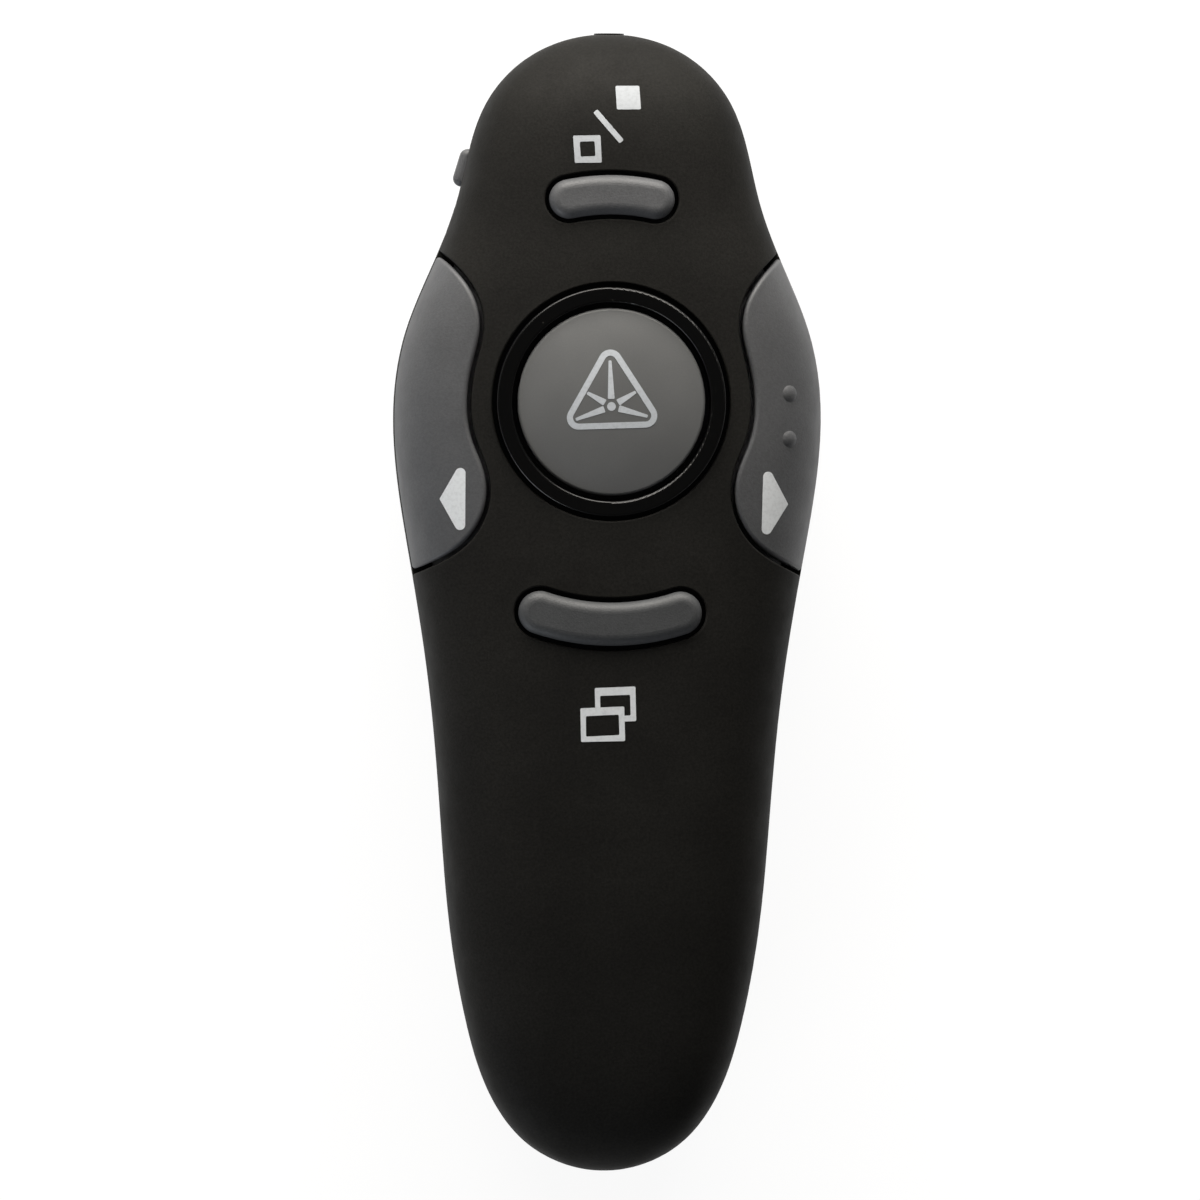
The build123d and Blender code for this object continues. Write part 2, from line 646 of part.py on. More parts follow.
# ---------------------------------------------------------------- circuit board
def switch_places():
    """Plan centre of each button's switch."""
    return {
        "laser": (0, thumb_y),
        "blank": (0, thumb_y + BLANK_ARC_RADIUS),
        "window": (0, thumb_y - WINDOW_ARC_RADIUS),
        "forward": (PAD_STEM_X, thumb_y),
        "back": (-PAD_STEM_X, thumb_y),
    }


def main_board():
    """Circuit board that follows the inside of the housing."""
    board = form(WALL + BOARD_GAP) & block(
        (-TALL, TALL), (thumb_y - BOARD_TAIL_OFFSET, thumb_y + BOARD_HEAD_OFFSET),
        (board_z, board_top_z))
    for x, y in head_screw_places():
        board -= rod(x, y, 0, TALL, BOSS_RADIUS + SLIDE_GAP)
    for x, y in board_screw_places():
        board -= rod(x, y, 0, TALL, BOARD_SCREW_RADIUS + 2 * FIT_GAP)
    return board


def tact_switches():
    """Five square switch bodies, each open at the top for its plunger."""
    group = []
    for x, y in switch_places().values():
        half = TACT_SIDE / 2
        body = block((x - half, x + half), (y - half, y + half),
                     (board_top_z, board_top_z + TACT_HEIGHT))
        body = chamfer(body.edges().filter_by(Axis.Z), EDGE_ROUND)
        body -= rod(x, y, board_top_z + TACT_HEIGHT - TACT_BORE_DEPTH, TALL,
                    PLUNGER_RADIUS + FIT_GAP)
        group.append(body)
    return Compound(group)


def plunger(name):
    """The moving pin of one switch, which its button presses."""
    x, y = switch_places()[name]
    pin = rod(x, y, plunger_tip_z - PLUNGER_LENGTH, plunger_tip_z, PLUNGER_RADIUS)
    return chamfer(pin.edges().group_by(Axis.Z)[0], EDGE_ROUND / 2)


def chip(x, y, size):
    """A flat component on the board's underside; its Y is from the thumb centre."""
    width, length, height = size
    middle = thumb_y + y
    return block((x - width / 2, x + width / 2), (middle - length / 2, middle + length / 2),
                 (board_z - height, board_z))


def leg_pitch(size, legs):
    """Spacing of the legs down a chip's side."""
    return size[1] / legs


def leaded_chip(side, y, size, legs):
    """A chip on one side of the contacts' legs, with its own legs down each long side."""
    width, length, height = size
    pitch = leg_pitch(size, legs)
    x = side * (component_x + 3 * pitch / 4 + width / 2)
    body = chip(x, y, size)
    body = chamfer(body.edges().group_by(Axis.Z)[0], height / 5)
    for number in range(legs):
        leg_y = y - length / 2 + pitch * (number + 0.5)
        for way in (-1, 1):
            leg_x = x + way * (width / 2 + pitch / 4)
            body += chip(leg_x, leg_y, (pitch, pitch / 3, height / 4))
    return body


def controller_chip():
    """Controller beside the right contact's leg."""
    return leaded_chip(1, CONTROLLER_OFFSET, CONTROLLER_SIZE, CONTROLLER_LEGS)


def radio_chip():
    """Radio beside the left contact's leg."""
    return leaded_chip(-1, RADIO_OFFSET, RADIO_SIZE, RADIO_LEGS)


def crystal():
    """Crystal can in line with the radio."""
    return chip(-component_x - CRYSTAL_SIZE[0] / 2, CRYSTAL_OFFSET, CRYSTAL_SIZE)


def small_components():
    """Resistors and capacitors, in a row outside each column of chips."""
    group = []
    for side, size, legs in ((1, CONTROLLER_SIZE, CONTROLLER_LEGS), (-1, RADIO_SIZE, RADIO_LEGS)):
        chip_width = size[0] + 3 * leg_pitch(size, legs) / 2
        x = side * (component_x + chip_width + COMPONENT_GAP + PASSIVE_SIZE[0] / 2)
        group += [chip(x, y, PASSIVE_SIZE) for y in PASSIVE_OFFSETS]
    return Compound(group)


def antenna():
    """Printed antenna: a copper strip that folds to and fro on the board."""
    half = ANTENNA_STRIP / 2
    y = thumb_y - BOARD_TAIL_OFFSET + WALL
    z = (board_top_z, board_top_z + ANTENNA_THICKNESS)
    trace = Part()
    for number in range(ANTENNA_RUNS):
        x = ANTENNA_X + number * ANTENNA_PITCH
        trace += block((x - half, x + half), (y, y + ANTENNA_REACH), z)
        end = y if number % 2 else y + ANTENNA_REACH - ANTENNA_STRIP
        if number < ANTENNA_RUNS - 1:
            trace += block((x - half, x + ANTENNA_PITCH + half), (end, end + ANTENNA_STRIP), z)
    return trace


# ---------------------------------------------------------------- screws
def cross_recess(x, y, z, reach, depth):
    """The two crossed slots in a screw's head."""
    slot = reach / 3
    one = block((x - reach, x + reach), (y - slot / 2, y + slot / 2), (z, z + depth))
    return one + block((x - slot / 2, x + slot / 2), (y - reach, y + reach), (z, z + depth))


def upward_screw(x, y, seat_z, length, radius, head_radius, head_height):
    """A pan-head screw driven up from the back."""
    head = rod(x, y, seat_z - head_height, seat_z, head_radius)
    head = fillet(head.edges().group_by(Axis.Z)[0], head_height * 0.4)
    head -= cross_recess(x, y, seat_z - head_height, head_radius * 0.6, RECESS_DEPTH)
    shank = rod(x, y, seat_z, seat_z + length, radius)
    return head + chamfer(shank.edges().group_by(Axis.Z)[-1], radius / 2)


def housing_screws():
    """Four screws that hold the shells together."""
    places = head_screw_places() + tail_screw_places()
    return Compound([upward_screw(x, y, SCREW_HEAD_DEPTH, SCREW_LENGTH, SCREW_RADIUS,
                                  SCREW_HEAD_RADIUS, SCREW_HEAD_HEIGHT) for x, y in places])


def board_screws():
    """Three screws that hold the board to the top shell."""
    return Compound([upward_screw(x, y, board_z, BOARD_SCREW_LENGTH, BOARD_SCREW_RADIUS,
                                  BOARD_SCREW_HEAD_RADIUS, BOARD_SCREW_HEAD_HEIGHT)
                     for x, y in board_screw_places()])


# ---------------------------------------------------------------- batteries
def battery(side):
    """One AAA cell; the left one has its nub to the head, the right one to the tail."""
    x = side * BATTERY_SPACING / 2
    length = BATTERY_LENGTH - BATTERY_NUB_LENGTH
    if side < 0:
        start = tub_tail_y + CONTACT_THICKNESS + SPRING_LENGTH + FIT_GAP
        nub = (start + length, start + BATTERY_LENGTH)
    else:
        start = tub_tail_y + CONTACT_THICKNESS + SLIDE_GAP + BATTERY_NUB_LENGTH
        nub = (start - BATTERY_NUB_LENGTH, start)
    can = bar_along_y(x, battery_z, start, start + length, BATTERY_RADIUS)
    can = fillet(can.edges().filter_by(GeomType.CIRCLE), EDGE_ROUND)
    return can + bar_along_y(x, battery_z, nub[0], nub[1], BATTERY_NUB_RADIUS)


def contact_spring(x, foot_y, way):
    """A conical coil that stands on a contact plate."""
    pitch = (SPRING_LENGTH - 2 * SPRING_WIRE_RADIUS) / SPRING_TURNS
    path = Helix(pitch, pitch * SPRING_TURNS, SPRING_BASE_RADIUS, cone_angle=-SPRING_CONE_ANGLE)
    start = path @ 0
    wire = Plane(origin=start, z_dir=path % 0) * Circle(SPRING_WIRE_RADIUS)
    coil = sweep(wire, path=path, is_frenet=True)
    turn = Rot(-90, 0, 0) if way > 0 else Rot(90, 0, 0)
    return Pos(x, foot_y + way * SPRING_WIRE_RADIUS, battery_z) * turn * coil


def contact_plate(x, y, width):
    """A flat spring-steel plate across the end of the cells."""
    half = width / 2
    low = battery_z - CONTACT_WIDTH / 2 + WALL / 2
    return block((x - half, x + half), (y, y + CONTACT_THICKNESS),
                 (low, battery_z + CONTACT_WIDTH / 2))


def contact_bridge():
    """Plate at the tail that joins the two cells, with a coil under the left one."""
    x = -BATTERY_SPACING / 2
    plate = contact_plate(0, tub_tail_y, BATTERY_SPACING + CONTACT_WIDTH)
    return plate + contact_spring(x, tub_tail_y + CONTACT_THICKNESS, 1)


def contact_tab(x, y):
    """The leg of a contact that reaches the board."""
    half = CONTACT_TAB_WIDTH / 2
    return block((x - half, x + half), (y, y + CONTACT_THICKNESS), (battery_z, board_z))


def contact_positive():
    """Flat contact for the left cell's nub."""
    x = -BATTERY_SPACING / 2
    y = tub_head_y - CONTACT_THICKNESS
    return contact_plate(x, y, CONTACT_WIDTH) + contact_tab(x, y)


def contact_negative():
    """Coil contact for the right cell's flat end."""
    x = BATTERY_SPACING / 2
    y = tub_head_y - CONTACT_THICKNESS
    return contact_plate(x, y, CONTACT_WIDTH) + contact_tab(x, y) + contact_spring(x, y, -1)


# ---------------------------------------------------------------- laser
def aperture_bezel():
    """Small round bezel in the nose that the beam leaves through."""
    inner = head_y - WALL
    bezel = bar_along_y(0, PARTING_Z, inner, head_y + BEZEL_PROUD, BEZEL_RADIUS)
    bezel += bar_along_y(0, PARTING_Z, inner - BEZEL_FLANGE_THICKNESS, inner - FIT_GAP,
                         BEZEL_FLANGE_RADIUS) & form(WALL + FIT_GAP)
    bezel += bar_along_y(0, PARTING_Z, inner - BEZEL_FLANGE_THICKNESS, inner, BEZEL_RADIUS)
    return bezel - bar_along_y(0, PARTING_Z, 0, TALL, APERTURE_RADIUS)


def aperture_window():
    """Clear disc in the bezel."""
    back = head_y - WALL
    return bar_along_y(0, PARTING_Z, back, back + WINDOW_THICKNESS, APERTURE_RADIUS)


def laser_barrel():
    """Brass barrel of the laser module, bored for its lens."""
    back = barrel_front_y - BARREL_LENGTH
    barrel = bar_along_y(0, PARTING_Z, back, barrel_front_y, BARREL_RADIUS)
    barrel = chamfer(barrel.edges().filter_by(GeomType.CIRCLE), EDGE_ROUND)
    return barrel - bar_along_y(0, PARTING_Z, barrel_front_y - BARREL_BORE_DEPTH,
                                head_y, BARREL_BORE_RADIUS)


def laser_lens():
    """Collimating lens at the floor of the barrel's bore: a disc with a crowned face."""
    floor = barrel_front_y - BARREL_BORE_DEPTH
    disc = bar_along_y(0, PARTING_Z, floor, floor + LENS_THICKNESS, BARREL_BORE_RADIUS)
    sphere = (BARREL_BORE_RADIUS ** 2 + LENS_CROWN ** 2) / (2 * LENS_CROWN)
    return disc & (Pos(0, floor + LENS_THICKNESS - sphere, PARTING_Z) * Sphere(sphere))


def laser_driver():
    """Small board on the barrel's back end."""
    back = barrel_front_y - BARREL_LENGTH
    return block((-BARREL_RADIUS * 0.8, BARREL_RADIUS * 0.8), (back - DRIVER_LENGTH, back),
                 (PARTING_Z - 0.5, PARTING_Z + 0.5))


def laser_leads():
    """Two bent leads from the driver up to the circuit board."""
    start_y = barrel_front_y - BARREL_LENGTH - DRIVER_LENGTH
    leads = []
    for side in (-1, 1):
        x = side * LEAD_SPACING / 2
        points = [(x, start_y, PARTING_Z), (x, start_y - LEAD_REACH, PARTING_Z),
                  (x, start_y - LEAD_REACH, board_z)]
        path = FilletPolyline(*points, radius=4 * LEAD_RADIUS)
        circle = Plane(origin=points[0], z_dir=(0, -1, 0)) * Circle(LEAD_RADIUS)
        leads.append(sweep(circle, path=path))
    return Compound(leads)


# ---------------------------------------------------------------- power switch
def lever_z():
    """Height of the switch lever's middle."""
    return board_z - SWITCH_HEIGHT * 0.65


def power_slider():
    """Knob that a finger slides, its guide plate and the fork round the switch's lever."""
    z = (slider_z - SLIDER_HEIGHT / 2, slider_z + SLIDER_HEIGHT / 2)
    low, high = slider_y - SLIDER_LENGTH / 2, slider_y + SLIDER_LENGTH / 2
    outline = Polyline((-SLIDER_PLATE_X, low), (-half_width(low) - SLIDER_PROUD, low),
                       (-half_width(high) - SLIDER_PROUD, high), (-SLIDER_PLATE_X, high),
                       close=True)
    knob = prism(make_face(outline), *z)
    knob = fillet(knob.edges().filter_by(Axis.Z).sort_by(Axis.X)[:2], SLIDER_END_ROUND)
    rims = [edge for edge in knob.edges()
            if abs(edge.center().Z - slider_z) > FIT_GAP
            and edge.center().X < -SLIDER_PLATE_X - FIT_GAP]
    knob = fillet(rims, SLIDER_RIM_ROUND)
    plate_y = (slider_y - SLIDER_PLATE_LENGTH / 2 - SLIDER_TRAVEL / 4,
               slider_y + SLIDER_PLATE_LENGTH / 2 - SLIDER_TRAVEL / 4)
    knob += block((-SLIDER_PLATE_X - SLIDER_PLATE_THICKNESS, -SLIDER_PLATE_X), plate_y,
                  (z[0] - SLIDE_GAP, z[1]))
    reach = SLIDER_PLATE_X - SWITCH_X - SWITCH_WIDTH - 2 * SLIDE_GAP
    for way in (-1, 1):
        middle = slider_y + way * (LEVER_LENGTH / 2 + FIT_GAP + PRONG_THICKNESS / 2)
        knob += block((-SLIDER_PLATE_X - SLIDER_PLATE_THICKNESS, -SLIDER_PLATE_X + reach),
                      (middle - PRONG_THICKNESS / 2, middle + PRONG_THICKNESS / 2),
                      (z[0], lever_z() + LEVER_HEIGHT / 2))
    return knob


def power_switch():
    """Slide switch under the board, slotted for its lever."""
    middle = slider_y - SLIDER_TRAVEL / 2
    body = block((-SWITCH_X - SWITCH_WIDTH, -SWITCH_X),
                 (middle - SWITCH_LENGTH / 2, middle + SWITCH_LENGTH / 2),
                 (board_z - SWITCH_HEIGHT, board_z))
    half = LEVER_LENGTH / 2 + SLIDE_GAP
    return body - block((-TALL, -SWITCH_X - SWITCH_WIDTH / 2),
                        (slider_y - half - SLIDER_TRAVEL, slider_y + half),
                        (lever_z() - LEVER_HEIGHT / 2 - FIT_GAP,
                         lever_z() + LEVER_HEIGHT / 2 + FIT_GAP))


def switch_lever():
    """The switch's own lever, held in the slider's fork."""
    inner = -SWITCH_X - SWITCH_WIDTH / 2 - FIT_GAP
    return block((-SWITCH_X - SWITCH_WIDTH - LEVER_REACH, inner),
                 (slider_y - LEVER_LENGTH / 2, slider_y + LEVER_LENGTH / 2),
                 (lever_z() - LEVER_HEIGHT / 2, lever_z() + LEVER_HEIGHT / 2))


# ---------------------------------------------------------------- receiver
def plug_mouth_y():
    """Open end of the receiver's plug."""
    return bay_head_y - SLIDE_GAP


def receiver_case():
    """Moulded grip of the USB receiver."""
    front = plug_mouth_y() - PLUG_LENGTH
    case = block((-RECEIVER_WIDTH / 2, RECEIVER_WIDTH / 2), (front - RECEIVER_LENGTH, front),
                 (RECEIVER_LIFT, RECEIVER_LIFT + RECEIVER_HEIGHT))
    return fillet(case.edges().filter_by(Axis.Y), 1.0)


def receiver_plug():
    """Folded steel shell of the plug."""
    middle = RECEIVER_LIFT + RECEIVER_HEIGHT / 2
    span = (plug_mouth_y() - PLUG_LENGTH, plug_mouth_y())
    outer = block((-PLUG_WIDTH / 2, PLUG_WIDTH / 2), span,
                  (middle - PLUG_HEIGHT / 2, middle + PLUG_HEIGHT / 2))
    outer = fillet(outer.edges().filter_by(Axis.Y), 2 * PLUG_SHEET)
    inner = block((-PLUG_WIDTH / 2 + PLUG_SHEET, PLUG_WIDTH / 2 - PLUG_SHEET), span,
                  (middle - PLUG_HEIGHT / 2 + PLUG_SHEET, middle + PLUG_HEIGHT / 2 - PLUG_SHEET))
    shell = outer - inner
    for x in (-PLUG_WIDTH / 5, PLUG_WIDTH / 5):
        y = plug_mouth_y() - PLUG_LENGTH / 2
        shell -= block((x - 1.0, x + 1.0), (y - 1.0, y + 1.0), (-TALL, TALL))
    return shell


def receiver_tongue():
    """Insulating tongue in the plug that carries its contacts."""
    middle = RECEIVER_LIFT + RECEIVER_HEIGHT / 2
    low = middle - PLUG_HEIGHT / 2 + PLUG_SHEET
    return block((-PLUG_WIDTH / 2 + 2 * PLUG_SHEET, PLUG_WIDTH / 2 - 2 * PLUG_SHEET),
                 (plug_mouth_y() - PLUG_LENGTH, plug_mouth_y() - PLUG_SHEET),
                 (low, low + TONGUE_THICKNESS))


def nodes():
    """Every sub-part by its node name."""
    parts = {
        "top_shell": top_shell(),
        "bottom_shell": bottom_shell(),
        "battery_door": battery_door(),
        "button_ring": button_ring(),
        "laser_button": laser_button(),
        "back_pad": back_pad(),
        "forward_pad": forward_pad(),
        "blank_button": blank_button(),
        "window_button": window_button(),
        "main_board": main_board(),
        "tact_switches": tact_switches(),
        "controller_chip": controller_chip(),
        "radio_chip": radio_chip(),
        "crystal": crystal(),
        "small_components": small_components(),
        "antenna": antenna(),
        "housing_screws": housing_screws(),
        "board_screws": board_screws(),
        "battery_left": battery(-1),
        "battery_right": battery(1),
        "contact_bridge": contact_bridge(),
        "contact_positive": contact_positive(),
        "contact_negative": contact_negative(),
        "aperture_bezel": aperture_bezel(),
        "aperture_window": aperture_window(),
        "laser_barrel": laser_barrel(),
        "laser_lens": laser_lens(),
        "laser_driver": laser_driver(),
        "laser_leads": laser_leads(),
        "power_slider": power_slider(),
        "power_switch": power_switch(),
        "switch_lever": switch_lever(),
        "receiver_case": receiver_case(),
        "receiver_plug": receiver_plug(),
        "receiver_tongue": receiver_tongue(),
    }
    for name in switch_places():
        parts[name + "_plunger"] = plunger(name)
    return parts


os.makedirs("parts", exist_ok=True)
for node, part in nodes().items():
    export_step(part, os.path.join("parts", node + ".step"))
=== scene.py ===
"""Looks of a hand-held wireless presentation clicker, lying on its back on a pale floor.

Metres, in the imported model's frame: +Z out of the button face, +Y towards the laser end, +X to
the right when the buttons are looked at. Sizes that a maker would give in millimetres are
fields in millimetres, and MM turns them into metres.
"""

import abc
import logging
import math
from dataclasses import dataclass, field, replace
from enum import Enum

import bpy
from mathutils import Matrix, Vector
from mathutils.bvhtree import BVHTree
from mathutils.geometry import delaunay_2d_cdt


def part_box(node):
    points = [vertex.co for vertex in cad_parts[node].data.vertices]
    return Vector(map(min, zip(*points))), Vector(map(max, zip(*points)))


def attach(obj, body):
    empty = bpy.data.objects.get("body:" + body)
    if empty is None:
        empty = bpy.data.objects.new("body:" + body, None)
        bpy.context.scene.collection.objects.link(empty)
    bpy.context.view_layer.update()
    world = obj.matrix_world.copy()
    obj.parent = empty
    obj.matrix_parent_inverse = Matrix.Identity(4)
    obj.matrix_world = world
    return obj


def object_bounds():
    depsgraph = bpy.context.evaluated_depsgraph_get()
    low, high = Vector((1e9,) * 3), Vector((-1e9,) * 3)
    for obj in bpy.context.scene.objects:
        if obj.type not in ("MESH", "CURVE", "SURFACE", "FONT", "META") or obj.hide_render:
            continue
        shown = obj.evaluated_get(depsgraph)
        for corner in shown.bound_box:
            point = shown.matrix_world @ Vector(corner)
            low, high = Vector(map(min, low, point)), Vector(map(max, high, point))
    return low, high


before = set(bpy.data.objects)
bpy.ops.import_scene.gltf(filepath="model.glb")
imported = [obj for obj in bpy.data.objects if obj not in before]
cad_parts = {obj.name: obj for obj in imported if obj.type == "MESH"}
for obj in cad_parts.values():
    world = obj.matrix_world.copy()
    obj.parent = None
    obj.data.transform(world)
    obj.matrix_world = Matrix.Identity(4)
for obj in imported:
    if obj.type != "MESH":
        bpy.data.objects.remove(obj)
CAD_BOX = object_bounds()

MM = 0.001
NOISE_RANGE = (0.3, 0.7)  # nearly all of a cloudy noise's values lie between these
COLOUR_A, COLOUR_B, COLOUR_MIXED = 6, 7, 2  # a Mix node's sockets for colours
LOG = logging.getLogger("clicker")

Point = tuple[float, float]
Corners = tuple[Point, ...]
Socket = bpy.types.NodeSocket


class Body(Enum):
    """Bodies of the clicker that carry print."""

    HOUSING = "housing"
    LASER_KEY = "laser_key"
    BACK_KEY = "back_key"
    FORWARD_KEY = "forward_key"


class Cloud(Enum):
    """How a finish's noise is measured out: one size every way, or drawn along an axis."""

    EVEN = (1.0, 1.0, 1.0)
    ALONG_X = (0.04, 1.0, 1.0)
    ALONG_Y = (1.0, 0.04, 1.0)
    TURNED = (1.0, 8.0, 1.0)


@dataclass(frozen=True)
class Tone:
    """A colour as a screen shows it, each part from 0 to 255."""

    red: float
    green: float
    blue: float

    def linear(self) -> tuple[float, float, float, float]:
        """The colour in linear light.

        Returns:
            Red, green and blue from 0 to 1, and an opacity of 1.
        """
        parts = []
        for part in (self.red, self.green, self.blue):
            share = part / 255
            parts.append(share / 12.92 if share < 0.04045 else ((share + 0.055) / 1.055) ** 2.4)
        return (*parts, 1.0)

    def scaled(self, factor: float) -> "Tone":
        """The same hue, lighter or darker by a factor."""
        return Tone(min(self.red * factor, 255), min(self.green * factor, 255),
                    min(self.blue * factor, 255))


class Tree:
    """The nodes of a material or of the sky while they are being joined."""

    def __init__(self, owner: bpy.types.Material | bpy.types.World) -> None:
        """Turn the nodes on.

        Args:
            owner: What the nodes belong to.
        """
        owner.use_nodes = True
        self.nodes = owner.node_tree.nodes
        self.links = owner.node_tree.links

    def add(self, kind: str, inputs: dict[str | int, Socket | float | tuple[float, ...]],
            output: str | int = 0, **settings: str) -> Socket:
        """Add a node.

        Args:
            kind: Which node, without the prefix that all of them share.
            inputs: What goes into it: a socket is linked, and anything else is a constant.
            output: Which of its outputs is used.
            settings: Choices among its named options.

        Returns:
            That output.
        """
        node = self.nodes.new("ShaderNode" + kind)
        for name, choice in settings.items():
            setattr(node, name, choice)
        for name, source in inputs.items():
            if isinstance(source, Socket):
                self.links.new(source, node.inputs[name])
            else:
                node.inputs[name].default_value = source
        return node.outputs[output]


class Recipe(Tree):
    """One finish while it is being mixed."""

    def __init__(self, name: str) -> None:
        """Start a finish with its shader and the object's own coordinates.

        Args:
            name: Name of the finish.
        """
        self.material = bpy.data.materials.new(name)
        super().__init__(self.material)
        self.shader = self.nodes["Principled BSDF"]
        self.place = self.add("TexCoord", {}, "Object")

    def set(self, **values: float) -> None:
        """Set constant values on the shader; underscores stand for spaces."""
        for name, value in values.items():
            self.shader.inputs[name.replace("_", " ")].default_value = value

    def feed(self, name: str, source: Socket) -> None:
        """Link a varying value into one of the shader's sockets."""
        self.links.new(source, self.shader.inputs[name])

    def noise(self, size: float, detail: float = 2.0, cloud: Cloud = Cloud.EVEN) -> Socket:
        """Cloudy noise.

        Args:
            size: Size of one patch in millimetres.
            detail: How many finer layers are added.
            cloud: Whether the patches are even or drawn out.

        Returns:
            A value round 0.5.
        """
        drawn = self.add("Mapping", {"Vector": self.place, "Scale": cloud.value}, "Vector")
        return self.add("TexNoise", {"Vector": drawn, "Scale": 1 / (size * MM),
                                     "Detail": detail}, "Fac")

    def specks(self, spacing: float, radius: float) -> Socket:
        """Small round specks scattered through the finish.

        Args:
            spacing: Mean distance between specks in millimetres.
            radius: Radius of a speck in millimetres.

        Returns:
            A value of 1 in a speck and 0 between them.
        """
        distance = self.add("TexVoronoi", {"Vector": self.place, "Scale": 1 / (spacing * MM)},
                            "Distance")
        return self.remap(distance, radius / spacing, 0.0)

    def remap(self, value: Socket, start: float, end: float, low: float = 0.0,
              high: float = 1.0) -> Socket:
        """Stretch a value's range to another one, and hold it at both ends.

        Args:
            value: What is stretched.
            start: Value that becomes low.
            end: Value that becomes high.
            low: Result at the start and before it.
            high: Result at the end and past it.

        Returns:
            The stretched value.
        """
        return self.add("MapRange", {"Value": value, "From Min": start, "From Max": end,
                                     "To Min": low, "To Max": high}, "Result")

    def spread(self, cloud: Socket, low: float, high: float) -> Socket:
        """Cloudy noise, made to wander between two values."""
        return self.remap(cloud, *NOISE_RANGE, low, high)

    def combine(self, operation: str, first: Socket, second: Socket | float) -> Socket:
        """One arithmetic step on two values, in the Math node's words."""
        return self.add("Math", {0: first, 1: second}, operation=operation)

    def blend(self, factor: Socket, first: Tone | Socket, second: Tone | Socket) -> Socket:
        """Mix two colours by a varying factor.

        Args:
            factor: 0 gives the first colour and 1 the second.
            first: A tone or a colour made earlier.
            second: A tone or a colour made earlier.

        Returns:
            The mixed colour.
        """
        first, second = (colour.linear() if isinstance(colour, Tone) else colour
                         for colour in (first, second))
        return self.add("Mix", {0: factor, COLOUR_A: first, COLOUR_B: second}, COLOUR_MIXED,
                        data_type="RGBA")

    def shaded(self, colour: Socket, factor: Socket) -> Socket:
        """A colour made lighter or darker by a varying factor."""
        return self.add("VectorMath", {0: colour, "Scale": factor}, operation="SCALE")

    def relief(self, height: Socket, depth: float) -> None:
        """Raise the surface's shading by a height of 0 to 1.

        Args:
            height: Where the surface stands high.
            depth: Height of the relief in millimetres.
        """
        bump = self.add("Bump", {"Distance": depth * MM, "Height": height}, "Normal")
        self.feed("Normal", bump)


# ------------------------ finishes
@dataclass(frozen=True)
class Finish(abc.ABC):
    """What a surface is made of and how it is finished."""

    name: str

    @abc.abstractmethod
    def fill(self, recipe: Recipe) -> None:
        """Mix what makes this finish."""

    def mix(self) -> bpy.types.Material:
        """Mix the finish.

        Returns:
            It as a material.
        """
        recipe = Recipe(self.name)
        self.fill(recipe)
        return recipe.material


@dataclass(frozen=True)
class Moulded(Finish):
    """Moulded plastic, bare or lacquered, with a fine even grain.

    Attributes:
        tone: Colour of the plastic.
        drift: Share by which the colour wanders over the surface.
        mottle: Share by which the colour varies from grain to grain.
        roughness: How matt it is, from 0 to 1.
        swing: How far the roughness varies to either side.
        specular: Strength of its surface reflection, 0.5 for plain plastic.
        grain: Size of the moulded texture in millimetres.
        depth: Depth of the moulded texture in millimetres.
        patch: Size of the patches in which the colour wanders, in millimetres.
        specks: How much lighter the scattered specks are, or 0 for none.
        speck_spacing: Mean distance between specks in millimetres.
        speck_radius: Radius of a speck in millimetres.
    """

    tone: Tone
    drift: float = 0.06
    mottle: float = 0.04
    roughness: float = 0.5
    swing: float = 0.04
    specular: float = 0.5
    grain: float = 0.16
    depth: float = 0.006
    patch: float = 9.0
    specks: float = 0.0
    speck_spacing: float = 1.3
    speck_radius: float = 0.11

    def fill(self, recipe: Recipe) -> None:
        """Mix the plastic: wandering colour, grain, then specks where the colour is pale.

        Args:
            recipe: What it is mixed in.
        """
        wide = recipe.noise(self.patch, detail=3.0)
        colour = recipe.blend(recipe.remap(wide, 0.35, 0.65), self.tone.scaled(1 - self.drift),
                              self.tone.scaled(1 + self.drift))
        fine = recipe.noise(self.grain * 1.5)
        colour = recipe.shaded(colour, recipe.spread(fine, 1 - self.mottle, 1 + self.mottle))
        if self.specks:
            speck = recipe.specks(self.speck_spacing, self.speck_radius)
            speck = recipe.combine("MULTIPLY", speck, recipe.remap(wide, 0.5, 0.6, 0.0, 0.8))
            colour = recipe.blend(speck, colour, self.tone.scaled(1 + self.specks))
        recipe.feed("Base Color", colour)
        recipe.feed("Roughness", recipe.spread(recipe.noise(2.5), self.roughness - self.swing,
                                               self.roughness + self.swing))
        recipe.set(Specular_IOR_Level=self.specular)
        recipe.relief(recipe.noise(self.grain, detail=1.0), self.depth)


